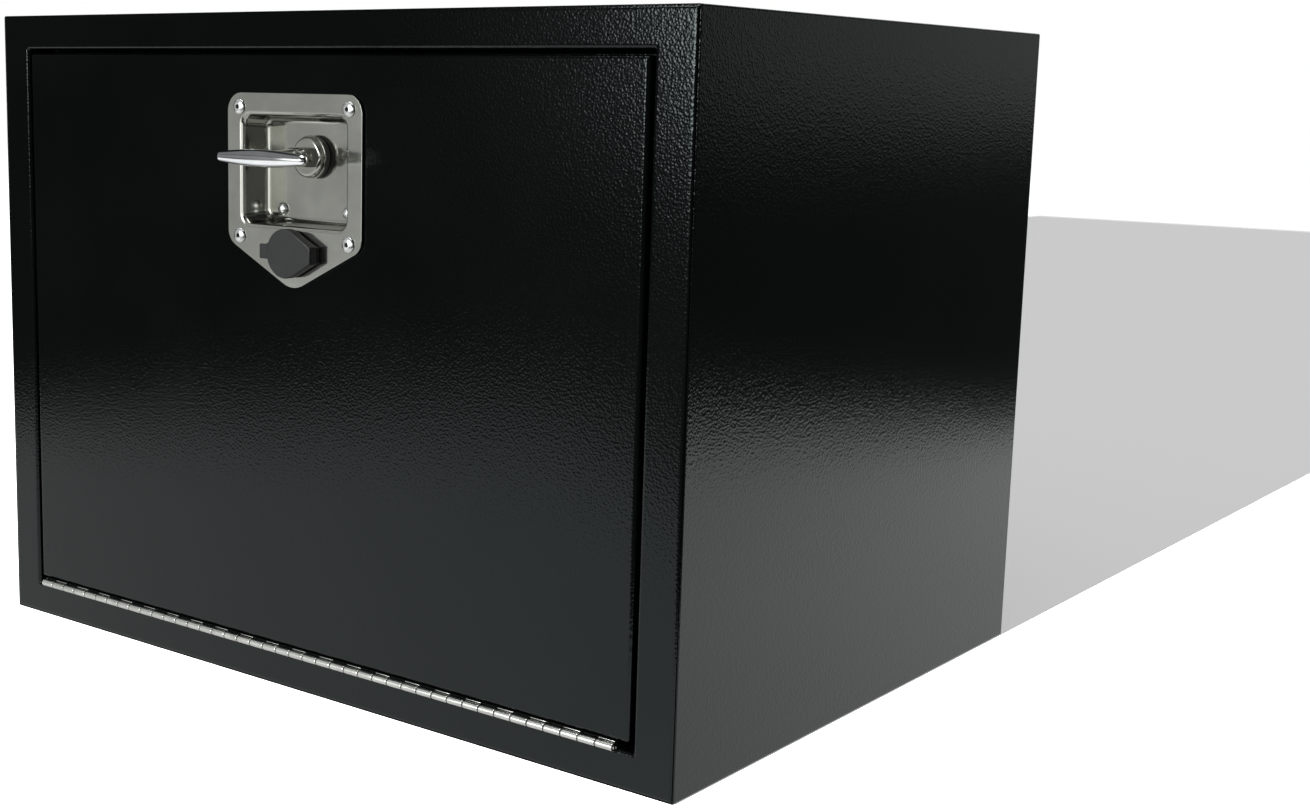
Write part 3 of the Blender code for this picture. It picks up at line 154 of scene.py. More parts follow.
# Tint and relief are blotches: (size, detail), and the values spread to 0..1 if they aren't the usual ones
metalLooks = {
    # Rolled stainless sheet with a satin finish: fine streaks along the roll, faint cloudiness
    "satinStainlessSheet": {
        "colours": ("a7a8a1", "b4b5ae"), "roughness": (0.11, 0.16), "tint": (30, 2),
        "relief": (8, 4, 0.3, 0.7), "strength": 0.25, "depth": 0.004, "roll": (1, 1, 14),
    },
    # Rolled steel strip as it leaves the mill: greyer and duller than the plate, with long faint streaks
    "millFinishSteelStrip": {
        "colours": ("cfd0cb", "e2e3de"), "roughness": (0.22, 0.32), "tint": (12, 3),
        "relief": (1.2, 4, 0.3, 0.7), "strength": 0.3, "depth": 0.006, "roll": (0.08, 1, 1),
    },
    # Bright chrome plate on a cast zinc handle: polished by hand, so slightly uneven
    "polishedChromePlate": {
        "colours": ("e0e3e5", "eceeef"), "roughness": (0.07, 0.13), "tint": (18, 3),
        "relief": (7, 1), "strength": 0.15, "depth": 0.02,
    },
    # Aluminium rivets, upset from wire: bright with a fine scuffed grain
    "brightRivetAluminium": {
        "colours": ("cfd1d0", "e6e8e7"), "roughness": (0.16, 0.3), "tint": (0.8, 3),
        "relief": (0.8, 3), "strength": 0.3, "depth": 0.01,
    },
    # Zinc-plated mild steel: pale blue passivate over a fine rolled grain, with cloudy patches
    "bluePassivatedZinc": {
        "colours": ("a9afb4", "c3c5bd"), "roughness": (0.28, 0.42), "tint": (6, 3),
        "relief": (0.7, 2), "strength": 0.3, "depth": 0.01,
    },
}


# A bare metal: one pattern mixes its colours and sets its roughness, the other dents it. On rolled sheet the
# dents are drawn out along the roll, and they set the roughness
def metal(name):
    look = metalLooks[name]
    material, tree, place = startMaterial(name)
    tint, along = blotches(tree, place, *look["tint"]), place
    if "roll" in look:
        along = addNode(tree, "ShaderNodeMapping", {"Vector": place, "Scale": look["roll"]}).outputs["Vector"]
    relief = blotches(tree, along, *look["relief"])
    shader = addNode(tree, "ShaderNodeBsdfPrincipled", {
        "Base Color": mixColours(tree, tint, *look["colours"]), "Metallic": 1.0,
        "Roughness": spread(tree, relief if "roll" in look else tint, *look["roughness"]),
        "Normal": bump(tree, relief, look["strength"], look["depth"]),
    })
    endMaterial(tree, shader.outputs[0])
    return material


bloomSize = 9


# Matt and grained: rubber and plastic with the mould's fine spark grain under a dusty bloom, and torn steel
def mattGrain(name, dark, light, grainSize, grainDepth, roughness):
    material, tree, place = startMaterial(name)
    grain = blotches(tree, place, grainSize, detail=3, low=0.3, high=0.7)
    bloom = blotches(tree, place, bloomSize, detail=3)
    colour = mixColours(tree, bloom, dark, light)
    shader = addNode(tree, "ShaderNodeBsdfPrincipled", {
        "Base Color": colour, "Roughness": spread(tree, grain, *roughness),
        "Normal": bump(tree, grain, 0.7, grainDepth),
    })
    endMaterial(tree, shader.outputs[0])
    return material


powder = powderCoat()
stainless = metal("satinStainlessSheet")
millSteel = metal("millFinishSteelStrip")
chrome = metal("polishedChromePlate")
aluminium = metal("brightRivetAluminium")
zinc = metal("bluePassivatedZinc")
coverRubber = mattGrain("mouldedCoverPlastic", "060808", "0e1112", 0.8, 0.09, (0.42, 0.52))
brokenSteel = mattGrain("brokenMandrelSteel", "141514", "232423", 0.5, 0.05, (0.3, 0.5))  # near black and matt
sealRubber = mattGrain("spongeSealRubber", "17181a", "222426", 1.2, 0.08, (0.7, 0.85))
ringRubber = mattGrain("turnedRingRubber", "303232", "3c3e3d", 0.6, 0.02, (0.45, 0.6))
print("materials made")


# Surfaces are grids of points in millimetres, closed and turned outwards


# Quads between neighbouring rows and columns of a grid of points
def gridFaces(rows, columns, closeRows=True):
    lastRow = rows if closeRows else rows - 1
    row, column = np.meshgrid(np.arange(lastRow), np.arange(columns), indexing="ij")
    nextRow, nextColumn = (row + 1) % rows, (column + 1) % columns
    first, second = row * columns, nextRow * columns
    corners = (first + column, first + nextColumn, second + nextColumn, second + column)
    return np.stack(corners, -1).reshape(-1, 4)


# Welds points that coincide, makes quads that lose a corner into triangles, and turns the shell outwards:
# six times its volume is the sum of a . (b x c) over its triangles
def closeShell(points, quads, decimals=4):
    points, index = np.unique(np.round(points.reshape(-1, 3), decimals), axis=0, return_inverse=True)
    quads = index.reshape(-1)[quads]
    same = quads == np.roll(quads, -1, axis=1)
    full, thin = quads[~same.any(1)], quads[same.sum(1) == 1]
    triangles = thin[thin != np.roll(thin, -1, axis=1)].reshape(-1, 3)
    pieces = np.concatenate([full[:, :3], full[:, [0, 2, 3]], triangles])
    a, b, c = (points[pieces[:, corner]] for corner in range(3))
    if np.einsum("ij,ij->", a - points.mean(0), np.cross(b - points.mean(0), c - points.mean(0))) < 0:
        full, triangles = full[:, ::-1], triangles[:, ::-1]
    return points, full, triangles


# An object in the scene
def addObject(name, data):
    added = bpy.data.objects.new(name, data)
    bpy.context.scene.collection.objects.link(added)
    return added


# A piece from closed shells of points and quads, smooth except over edges sharper than the angle
def makePiece(name, shells, material, body, replaced=(), sharpAngle=35):
    points, faces, start = [], [], 0
    for shell in shells:
        shellPoints, full, triangles = closeShell(*shell)
        faces += (full + start).tolist() + (triangles + start).tolist()
        points.append(shellPoints)
        start += len(shellPoints)
    mesh = bpy.data.meshes.new(name)
    mesh.from_pydata(toFrame(np.concatenate(points)).tolist(), [], faces)
    mesh.shade_smooth()
    mesh.set_sharp_from_angle(angle=math.radians(sharpAngle))
    mesh.materials.append(material)
    piece = addObject(name, mesh)
    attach(piece, body)
    if replaced:
        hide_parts(*replaced)
    return piece


# Rounded rectangles (x, z) with the same number of points for each size. Two points beside each corner keep
# the flat sides flat in shading
def roundedRectangle(half, low, high, radius, steps=8, lead=0.6):
    turns, leads = np.r_[0, np.linspace(0, 90, steps + 1), 90], np.r_[-lead, np.zeros(steps + 1), lead]
    turns = np.radians(np.concatenate([turns + 90 * corner for corner in range(4)]))
    leads = np.tile(leads, 4)
    sideways, upward = np.repeat([1, -1, -1, 1], steps + 3), np.repeat([1, 1, -1, -1], steps + 3)
    half, low, high, radius = (np.asarray(value, float)[..., None] for value in (half, low, high, radius))
    x = sideways * (half - radius) + radius * np.cos(turns) - leads * np.sin(turns)
    z = (high + low) / 2 + upward * ((high - low) / 2 - radius)
    z = z + radius * np.sin(turns) + leads * np.cos(turns)
    return np.stack([x, z], -1)


# Points (across, along) of an arc between two angles, with a point on the tangent at both ends
def bend(across, along, radius, start, end, steps=8, lead=0.4):
    turns = np.radians(np.linspace(start, end, steps + 1))
    arc = np.stack([across + radius * np.cos(turns), along + radius * np.sin(turns)], -1)
    tangents = np.sign(end - start) * np.stack([-np.sin(turns[[0, -1]]), np.cos(turns[[0, -1]])], -1)
    return np.concatenate([arc[:1] - lead * tangents[:1], arc, arc[-1:] + lead * tangents[1:]])


# From a side to a front: the cut edge of the side's sheet, the groove of the weld, and the front's fold,
# which runs out into the front over a larger radius
def weldedEdge(seam):
    face, rise, radius, ease, wide = (seam[key] for key in ("face", "rise", "radius", "ease", "wide"))
    low, high = seam["low"], seam["low"] + rise
    sheetEdge = [(inset, high + depth) for inset, depth in seam["cutEdge"]] + [(face, low)]
    start = face + seam["groove"]
    fold, lead = np.radians(np.linspace(180, 270 - ease, 8)), np.radians(np.linspace(270 - ease, 270, 6))[1:]
    turn = np.array([math.cos(fold[-1]), math.sin(fold[-1])])
    middle = np.array([start + radius, 0.0])
    arcs = np.concatenate([
        middle + radius * np.stack([np.cos(fold), np.sin(fold)], -1),
        middle - (wide - radius) * turn + wide * np.stack([np.cos(lead), np.sin(lead)], -1),
    ])
    arcs[:, 1] -= arcs[-1, 1]
    bottom = max(arcs[0, 1], low) + seam["depth"]
    return np.concatenate([sheetEdge, [(face, bottom), (start, bottom)], arcs, arcs[-1:] + (0.4, 0)])


# A shell of outlines at their places along an axis
def stacked(outlines, along, axis="y", closeRows=False):
    first, second = outlines[..., 0], outlines[..., 1]
    along = np.broadcast_to(np.asarray(along)[:, None], first.shape)
    points = np.stack({"y": (first, along, second), "x": (along, first, second)}[axis], -1)
    return points, gridFaces(*points.shape[:2], closeRows)


# A closed sheet round an opening: each station is a rectangle (half, low, high, corner radius) with its
# (inset, y) points. A corner moved inwards loses radius, one moved outwards keeps it
def sheetRing(stations, leastRadius=0.2):
    sizes = np.concatenate([np.tile(rectangle, (len(path), 1)) for rectangle, path in stations]).astype(float)
    path = np.concatenate([np.asarray(path, float) for rectangle, path in stations])
    inset = path[:, 0]
    radius = np.maximum(sizes[:, 3] - np.maximum(inset, 0), leastRadius)
    outlines = roundedRectangle(sizes[:, 0] - inset, sizes[:, 1] + inset, sizes[:, 2] - inset, radius)
    return stacked(outlines, path[:, 1], closeRows=True)


# A lathe-turned shell: (radius, distance) profile turned about an axis through a place
def turned(profile, place, axis="y", sides=96):
    profile = np.asarray(profile, float)
    turns = np.linspace(0, 2 * np.pi, sides, endpoint=False)
    outlines = profile[:, :1, None] * np.stack([np.cos(turns), np.sin(turns)], -1)
    points, quads = stacked(outlines, profile[:, 1], axis, profile[0, 0] > 0 and profile[-1, 0] > 0)
    return points + place, quads


# Closes a stack of outlines with a point at both ends
def capped(outlines, middle):
    cap = np.broadcast_to(middle, outlines[:1].shape)
    return np.concatenate([cap, outlines, cap])


# A rectangle moved inwards, its corners losing half as much
def shrunkRectangle(size, inset, steps=8, lead=0.6):
    half, low, high, radius = size
    return roundedRectangle(half - inset, low + inset, high - inset, radius - inset / 2, steps, lead)


# A slab with rounded edges from low to high on an axis, of an outline that a function gives for an inset
def slab(outlineAt, low, high, edge=0.3, axis="y", steps=4, lead=0.3):
    turns = np.radians(np.linspace(0, 90, steps + 1))
    insets, offsets = edge * (1 - np.sin(turns)), edge * (1 - np.cos(turns))
    insets = np.r_[edge + lead, insets, insets[::-1], edge + lead]
    heights = np.r_[low, low + offsets, (high - offsets)[::-1], high]
    outlines = np.stack([outlineAt(inset) for inset in insets])
    outlines = capped(outlines, outlines[0].mean(0))
    return stacked(outlines, np.r_[low, heights, high], axis)


# Folded sheet. Rectangles are (half width, low, high, corner radius)
box = {
    "outline": (305, 0, 450, 1.6),
    "opening": (276.35, 24, 426, 1.6),
    "stop": (262.85, 37.5, 412.5, 4),
    "depth": 450,
    "lip": 25,
    "sheet": 1.5,
    "fold": 2.5,
    "backInset": 1.8,
    "backFlange": 20,
    "backCorner": 1.0,
    "seam": {
        # Rounded edge of the side's sheet
        "cutEdge": [(0, 0.8), (0, 0.35), (0.04, 0.14), (0.14, 0.02), (0.2, 0)],
        "face": 0.7,
        "low": 0.9,
        "rise": 0.08,
        "groove": 0.6,
        "depth": 0.3,
        "radius": 1.2,
        "ease": 11,  # degrees of the fold that the larger radius takes
        "wide": 8,
    },
}


# Round the section of the folded sheet: outside, front frame, lip, stop flange, and back on its hidden side
def bodyShell():
    fold, sheet, lip = box["fold"], box["sheet"], box["lip"]
    return sheetRing([
        (box["outline"], [(0, box["depth"])]),
        (box["outline"], weldedEdge(box["seam"])),
        (box["opening"], bend(-fold, fold, fold, 270, 360)),
        (box["opening"], bend(fold, lip - fold, fold, 180, 90)),
        (box["stop"], [(0, lip), (0, lip + sheet)]),
        (box["opening"], bend(fold, lip - fold, fold + sheet, 90, 180)),
        (box["opening"], bend(-fold, fold, fold - sheet, 360, 270)),
        (box["outline"], bend(fold, fold, fold - sheet, 270, 180)),
        (box["outline"], [(sheet, box["depth"])]),
    ])


# A pan with its flange forwards: the flange, the bend, the flat back and the same on the inside
def backPanel():
    half, low, high = box["outline"][:3]
    inset, fold, sheet, back = (box[key] for key in ("backInset", "fold", "sheet", "depth"))
    edge, rim = (half - inset, low + inset, high - inset, box["backCorner"]), back - box["backFlange"]
    outside, inside = bend(fold, back - fold, fold, 180, 90), bend(fold, back - fold, fold - sheet, 90, 180)
    points = sheetRing([(edge, [(0, rim)]), (edge, outside), (edge, inside), (edge, [(sheet, rim)])])[0]
    rows = len(outside) + 1
    centre = np.broadcast_to((0, 0, (low + high) / 2), (2, points.shape[1], 3)).copy()
    centre[0, :, 1], centre[1, :, 1] = back, back - sheet
    points = np.concatenate([points[:rows], centre, points[rows:]])
    return points, gridFaces(*points.shape[:2])


door = {
    "outline": (273.2, 29.5, 422.6, 2.2),
    "cutout": (50.4, 309, 387.4, 9.8),
    "thickness": 19,
    "sheet": 1.5,
    "fold": 2.5,
}


# Round the section of the outer pan: its flange, the bend, the front to the cut-out, and back on the inside
def doorSkin():
    fold, sheet = door["fold"], door["sheet"]
    return sheetRing([
        (door["outline"], [(0, door["thickness"])]),
        (door["outline"], bend(fold, fold, fold, 180, 270)),
        (door["cutout"], [(0, 0), (0, sheet)]),
        (door["outline"], bend(fold, fold, fold - sheet, 270, 180)),
        (door["outline"], [(sheet, door["thickness"])]),
    ])


makePiece("bodyShell", [bodyShell()], powder, "box", ["body_shell"])
makePiece("backPanel", [backPanel()], powder, "box", ["back_panel"])
makePiece("doorSkin", [doorSkin()], powder, "door", ["door_skin"])
print("box and door made")


# Continuous hinge. Sections are (y, z) in millimetres
hinge = {
    "pitch": 12.7,
    "pairs": 21,
    "shift": -2.4,
    "radius": 2.5,
    "bore": 1.55,
    "gap": 0.8,
    "y": -1.7,
    "z": 25.6,
    "endRound": [(0.35, 0), (0.1, 0.1), (0, 0.4), (0, 0.8)],  # a knuckle's rounded end: (inset, along)
    "pin": 1.2,
    "pinOverhang": 0.4,
    "pinChamfer": 0.3,
    "frameLeaf": [(0.5, 24.3), (18, 24.3), (18, 25.5), (0.5, 25.5)],
    "doorLeaf": [(0.5, 27.7), (2.1, 28.0), (18, 28.0), (18, 29.2), (0.9, 29.2), (0.4, 28.7)],
    "bar": (0.35, 28.35, 28.9, 0.2),
    "barMiddle": 0.05,
    "barEdge": 0.05,
}


# Middles of every second knuckle along the hinge
def knuckleMiddles(first):
    start = hinge["shift"] - hinge["pitch"] * hinge["pairs"]
    return start + (2 * np.arange(hinge["pairs"]) + first + 0.5) * hinge["pitch"]


# Every second knuckle: one turned tube with rounded ends, repeated along the hinge
def knuckles(first):
    length, rounding = (hinge["pitch"] - hinge["gap"]) / 2, np.array(hinge["endRound"])
    left = np.stack([hinge["radius"] - rounding[:, 0], -length + rounding[:, 1]], -1)
    right = (left * (1, -1))[::-1]
    tube = np.concatenate([[(hinge["bore"], -length)], left, right, [(hinge["bore"], length)]])
    points, quads = turned(tube, (0, hinge["y"], hinge["z"]), "x", 32)
    return [(points + (middle, 0, 0), quads) for middle in knuckleMiddles(first)]


# A leaf's section (y, z) drawn along the hinge
def leaf(section):
    low = hinge["shift"] - hinge["pitch"] * hinge["pairs"]
    high = hinge["shift"] + hinge["pitch"] * hinge["pairs"]
    section = np.asarray(section, float)
    outlines = capped(np.stack([section, section]), section.mean(0))
    return stacked(outlines, [low, low, high, high], "x")


# A turned pin with chamfered ends
def hingePin():
    reach = hinge["pitch"] * hinge["pairs"] + hinge["pinOverhang"]
    radius, cut = hinge["pin"], hinge["pinChamfer"]
    profile = [(0, -reach), (radius - cut, -reach), (radius, -reach + cut), (radius, reach - cut),
               (radius - cut, reach), (0, reach)]
    return turned(profile, (hinge["shift"], hinge["y"], hinge["z"]), "x", 24)


# The bare edge of the door's leaf above every second knuckle, where it's cut back: a thin bar
def cutEdges():
    half = (hinge["pitch"] - hinge["gap"]) / 2

    def outline(inset):
        return shrunkRectangle(hinge["bar"], inset, 3, 0.02) + (hinge["barMiddle"], 0)

    return [slab(outline, middle - half, middle + half, hinge["barEdge"], "x")
            for middle in knuckleMiddles(1)]


makePiece("hingeFrameLeaf", knuckles(1) + [leaf(hinge["frameLeaf"])], millSteel, "box", ["hinge_frame_leaf"])
makePiece("hingeDoorLeaf", knuckles(0) + cutEdges(), millSteel, "door", ["hinge_door_leaf"])
# Painted shade: the door leaf's strip is drawn in the black powder coat for the shade under the door's bottom
# edge, though the leaf is bare steel
makePiece("hingeDoorStrip", [leaf(hinge["doorLeaf"])], powder, "door")
makePiece("hingePin", [hingePin()], millSteel, "box", ["hinge_pin"])
print("hinge made")


# Latch plate with its drawn tray. Corners are (x, z, radius)
latch = {
    "spindle": 357.3,  # height of the spindle's axis
    "corners": [
        (-60.8, 398.0, 12.5), (-60.8, 301.2, 11.5), (0, 270.8, 20), (60.8, 301.2, 11.5), (60.8, 398.0, 12.5),
    ],
    "front": -2.1,
    "sheet": 1.0,
    "edge": 0.3,
    "tray": (49.6, 309.8, 386.6, 9),
    "trayFold": 3.3,
    "trayInset": 8.1,  # from the rim's outline to the floor's
    "floor": 18.6,
    "bushHole": 8.25,
    "gasketInset": 1.5,
    "gasketClear": 0.8,
    "gasketFront": -0.8,
    "gasketBack": -0.3,
}


# Closed outline with rounded corners: an arc's centre is radius / sin(half angle) along the bisector
def roundedPolygon(corners, radii, steps=10):
    before, after = np.roll(corners, 1, axis=0) - corners, np.roll(corners, -1, axis=0) - corners
    before /= np.linalg.norm(before, axis=1, keepdims=True)
    after /= np.linalg.norm(after, axis=1, keepdims=True)
    half = np.arccos((before * after).sum(1)) / 2
    bisector = (before + after) / np.linalg.norm(before + after, axis=1, keepdims=True)
    centres = corners + bisector * (radii / np.sin(half))[:, None]
    start = corners + before * (radii / np.tan(half))[:, None] - centres
    end = corners + after * (radii / np.tan(half))[:, None] - centres
    first = np.arctan2(start[:, 1], start[:, 0])
    sweep = (np.arctan2(end[:, 1], end[:, 0]) - first + np.pi) % (2 * np.pi) - np.pi
    turns = first[:, None] + sweep[:, None] * np.linspace(0, 1, steps + 1)
    arcs = centres[:, None] + radii[:, None, None] * np.stack([np.cos(turns), np.sin(turns)], -1)
    return arcs.reshape(-1, 2)


# The plate's outline moved inwards: its two slopes keep their angle
def plateOutline(inset):
    corners = np.array(latch["corners"], float)
    corners[:, 0] -= np.sign(corners[:, 0]) * inset
    corners[:, 1] += np.array([-1, 0.5, 1, 0.5, -1]) * inset
    return roundedPolygon(corners[:, :2], corners[:, 2] - inset)


def trayOutline(inset):
    return shrunkRectangle(latch["tray"], inset)


# Where rays from the spindle meet an outline: on the edge from a to b, r = a x (b - a) / d x (b - a)
def onRays(outline, angles):
    points = outline - (0, latch["spindle"])
    turns = np.arctan2(points[:, 1], points[:, 0])
    points, turns = points[np.argsort(turns)], np.sort(turns)
    after = np.searchsorted(turns, angles, side="right")
    a, b = points[after - 1], points[after % len(points)]
    d, e = np.stack([np.cos(angles), np.sin(angles)], -1), b - a
    reach = (a[:, 0] * e[:, 1] - a[:, 1] * e[:, 0]) / (d[:, 0] * e[:, 1] - d[:, 1] * e[:, 0])
    return d * reach[:, None] + (0, latch["spindle"])


# Angles that catch the corners of the outlines, and are never more than 3 degrees apart
def rayAngles(outlines):
    turns = [np.arctan2(points[:, 1] - latch["spindle"], points[:, 0]) for points in outlines]
    turns = np.unique(np.round(np.concatenate(turns + [np.radians(np.arange(-180, 180, 3))]), 4))
    return turns[np.r_[True, np.diff(turns) > math.radians(0.12)]]


# Angle that the tray's bends turn so that its sloping wall is tangent to both. Its tangent is the wall's rise
# over its run, found again from each guess
def wallTurn(turn=1.4):
    fold, inset, depth = latch["trayFold"], latch["trayInset"], latch["floor"] - latch["front"]
    for step in range(8):
        across, along = inset - 2 * fold * math.sin(turn), depth - 2 * fold * (1 - math.cos(turn))
        turn = math.atan2(along, across)
    return math.degrees(turn)


# The plate's edge, front, rim bend, tray wall, floor bend and floor to the bush, then the same on the back
def latchPlate():
    front, sheet, fold, inset = latch["front"], latch["sheet"], latch["trayFold"], latch["trayInset"]
    floor, edge, back, turn = latch["floor"], latch["edge"], latch["front"] + latch["sheet"], wallTurn()
    angles = rayAngles([plateOutline(0), trayOutline(0), trayOutline(fold), trayOutline(inset)])
    path = [
        (plateOutline, [(edge + 0.4, back), (edge, back), (0, back - edge)]),
        (plateOutline, bend(edge, front + edge, edge, 180, 270, 4, 0.1)),
        (trayOutline, bend(0, front + fold, fold, 270, 270 + turn)),
        (trayOutline, bend(inset, floor - fold, fold, 90 + turn, 90)),
    ]
    behind = [
        (trayOutline, bend(inset, floor - fold, fold + sheet, 90, 90 + turn)),
        (trayOutline, bend(0, front + fold, fold - sheet, 270 + turn, 270)),
    ]
    hole = [(np.full(len(angles), latch["bushHole"]), y) for y in (floor, floor + sheet)]
    rows = [(onRays(outline(across), angles), y) for outline, points in path for across, y in points]
    d = np.stack([np.cos(angles), np.sin(angles)], -1)
    rows += [(d * reach[:, None] + (0, latch["spindle"]), y) for reach, y in hole]
    rows += [(onRays(outline(across), angles), y) for outline, points in behind for across, y in points]
    points = np.stack([np.insert(outline, 1, y, axis=1) for outline, y in rows])
    return points, gridFaces(*points.shape[:2])


# A flat ring between the plate's outline and the tray's
def latchGasket():
    front, back = latch["gasketFront"], latch["gasketBack"]
    outside, inside = plateOutline(latch["gasketInset"]), trayOutline(-latch["gasketClear"])
    angles = rayAngles([outside, trayOutline(0)])
    rows = [(outside, front), (inside, front), (inside, back), (outside, back)]
    points = np.stack([np.insert(onRays(outline, angles), 1, y, axis=1) for outline, y in rows])
    return points, gridFaces(*points.shape[:2])


makePiece("latchPlate", [latchPlate()], stainless, "door", ["latch_plate"])
makePiece("latchGasket", [latchGasket()], sealRubber, "door", ["latch_gasket"])
print("latch plate made")


# Rivets. Places are (x, z), shanks are (radius, y)
rivet = {
    "places": [(-49.5, 388.9), (49.5, 388.9), (-49.5, 304.4), (49.5, 304.4)],
    "head": 5.0,
    "rise": 1.7,
    "lift": 0.3,  # of a head's rim from the face that it sits on
    "eye": 1.45,
    "eyeDepth": 0.6,
    "eyeFloor": [(0.3, 0.65), (0.1, 0.7), (0, 0.7)],  # (inset from the eye's wall, depth)
    "eyeEdge": 0.15,
    "mandrel": [(0.35, 0.5), (0.25, -0.1), (0.5, -0.4)],
    "mandrelEnds": (0.5, -0.6),
    "shank": [(2.2, 1.8), (3.2, 1.8), (3.2, 4.4), (2.8, 4.8), (0, 4.8)],
    "trayPlaces": [(-29.8, 322.1), (29.8, 322.1)],
    "trayHead": 4.2,
    "trayRise": 2.7,
    "trayShank": [(2.0, 22.2), (4.0, 22.2), (4.0, 23.0), (3.6, 23.4), (0, 23.4)],
}


# Ellipse quarter from the top of a head to its rim: (r sin t, -h cos t)
def dome(radius, rise, seat, start=0, steps=12):
    turns = np.radians(np.linspace(start, 90, steps + 1))
    return np.stack([radius * np.sin(turns), seat - rise * np.cos(turns)], -1)


# Blind rivet: a domed head with the sunk, broken end of its mandrel, a shank and a bulbed tail
def blindRivet(x, z):
    seat, eye, edge = latch["front"] - rivet["lift"], rivet["eye"], rivet["eyeEdge"]
    start = math.degrees(math.asin((eye + edge) / rivet["head"]))
    head = dome(rivet["head"], rivet["rise"], seat - edge, start)
    profile = np.concatenate([
        [(0, seat + rivet["eyeDepth"])],
        [(eye - inset, seat + depth) for inset, depth in rivet["eyeFloor"]],
        [(eye, head[0, 1] + edge)],
        head,
        [(rivet["head"] - edge, seat), (rivet["shank"][0][0], seat)],
        rivet["shank"],
    ])
    return turned(profile, (x, 0, z), sides=64)


# The broken end of the mandrel in the eye of a blind rivet
def mandrelEnd(x, z):
    seat, (back, top) = latch["front"] - rivet["lift"], rivet["mandrelEnds"]
    rim = [(rivet["eye"] - inset, seat + depth) for inset, depth in rivet["mandrel"]]
    profile = [(0, seat + back)] + rim + [(0, seat + top)]
    return turned(profile, (x, 0, z), sides=32)


# Solid rivet: a high round head, a shank and a peened end behind the bearing plate
def trayRivet(x, z):
    seat = latch["floor"] - rivet["lift"]
    profile = np.concatenate([
        dome(rivet["trayHead"], rivet["trayRise"] - rivet["lift"], seat - rivet["lift"]),
        [(rivet["trayHead"] - 0.1, seat), (rivet["trayShank"][0][0], seat)],
        rivet["trayShank"],
    ])
    return turned(profile, (x, 0, z), sides=64)


for number, (x, z) in enumerate(rivet["places"], 1):
    makePiece(f"plateRivet{number}", [blindRivet(x, z)], aluminium, "door", [f"plate_rivet_{number}"])
makePiece("mandrelEnds", [mandrelEnd(x, z) for x, z in rivet["places"]], brokenSteel, "door")
for label, (x, z) in zip(("left", "right"), rivet["trayPlaces"]):
    makePiece(f"trayRivet{label.title()}", [trayRivet(x, z)], aluminium, "door", [f"tray_rivet_{label}"])
print("rivets made")


# Hub, fork and folding handle. Faces and backs are depths from the front of the box
hub = {
    "face": 9.6,
    "radius": 13.4,
    "bevel": 2.7,
    "discBack": 12.6,
    "discEdge": (0.3, 0.2),
    "groove": 12.6,
    "ringFront": 13.2,
    "ring": 14.1,
    "ringBack": 14.5,
    "ringEdge": 0.35,
    "sealBore": 6.3,
    "sealRadius": 13.9,
    "sealFront": 14.8,
    "sealBack": 18.3,
    "sealEdge": 0.5,
    "spindle": 6.0,
    "spindleBack": 26.9,
    "armBack": 29.7,
    "threadRadius": 3.0,
    "threadBack": 36.9,
    "threadChamfer": 0.6,
    "squareHalf": 4,
    "squareCorner": 0.7,
    "squareSink": 1,
    "squareEdge": 0.2,
    "pivot": 3.7,  # depth of the pin across the fork
    "fork": 6.2,
    "forkHalf": 8.2,
    "forkSink": 1.5,
    "forkEdge": 0.6,
    "slotHalf": 3.2,
    "pinReach": 0.3,
    "pin": 2.4,
    "pinHead": 3.4,
    "pinHeadRise": 0.8,
}


# The turned head from its face to the thread's end
def hubBody():
    radius, bevel, back, groove = hub["radius"], hub["bevel"], hub["discBack"], hub["groove"]
    ring, front, edge = hub["ring"], hub["ringFront"], hub["ringEdge"]
    (along, inset), cut = hub["discEdge"], hub["threadChamfer"]
    profile = np.concatenate([
        [(0, hub["face"])],
        bend(radius - bevel, hub["face"] + bevel, bevel, 270, 360, lead=0.2),
        [(radius, back - along), (radius - inset, back), (groove, back), (groove, front)],
        [(ring - edge, front)],
        bend(ring - edge, front + edge, edge, 270, 360, 4, 0.05),
        [(ring, hub["ringBack"]), (hub["spindle"], hub["ringBack"]), (hub["spindle"], hub["spindleBack"])],
        [(hub["threadRadius"], hub["spindleBack"]), (hub["threadRadius"], hub["threadBack"] - cut)],
        [(hub["threadRadius"] - cut, hub["threadBack"]), (0, hub["threadBack"])],
    ])
    return turned(profile, (0, 0, latch["spindle"]), sides=128)


# Outline (y, z) of a bar with a half-round front about the pivot, straight back to a depth
def halfRound(radius, back, inset=0, steps=24):
    turns = np.radians(np.linspace(90, 270, steps + 1))
    arc = np.stack([hub["pivot"] + (radius - inset) * np.cos(turns),
                    latch["spindle"] + (radius - inset) * np.sin(turns)], -1)
    low, high = latch["spindle"] - radius + inset, latch["spindle"] + radius - inset
    return np.concatenate([arc, [(back - inset, low), (back - inset, high)]])


# Both ears of the fork: rounded slabs beside the handle's tongue
def forkEars():
    def outline(inset):
        return halfRound(hub["fork"], hub["face"] + hub["forkSink"], inset)

    low, high, edge = hub["slotHalf"], hub["forkHalf"], hub["forkEdge"]
    return [slab(outline, low, high, edge, "x"), slab(outline, -high, -low, edge, "x")]


# The square that the arm sits on
def spindleSquare():
    z, half = latch["spindle"], hub["squareHalf"]

    def outline(inset):
        return roundedRectangle(half - inset, z - half + inset, z + half - inset, hub["squareCorner"])

    return slab(outline, hub["spindleBack"] - hub["squareSink"], hub["armBack"], hub["squareEdge"])


# Across the fork: a pin with a low domed head at both ends
def pivotPin():
    reach, head, rise = hub["forkHalf"] + hub["pinReach"], hub["pinHead"], hub["pinHeadRise"]
    turns = np.radians(np.linspace(0, 90, 9))
    cap = np.stack([head * np.sin(turns), -reach - rise * np.cos(turns)], -1)
    half = np.concatenate([cap, [(head, -reach), (hub["pin"], -reach)]])
    profile = np.concatenate([half, (half * (1, -1))[::-1]])
    return turned(profile, (0, hub["pivot"], latch["spindle"]), "x", 48)


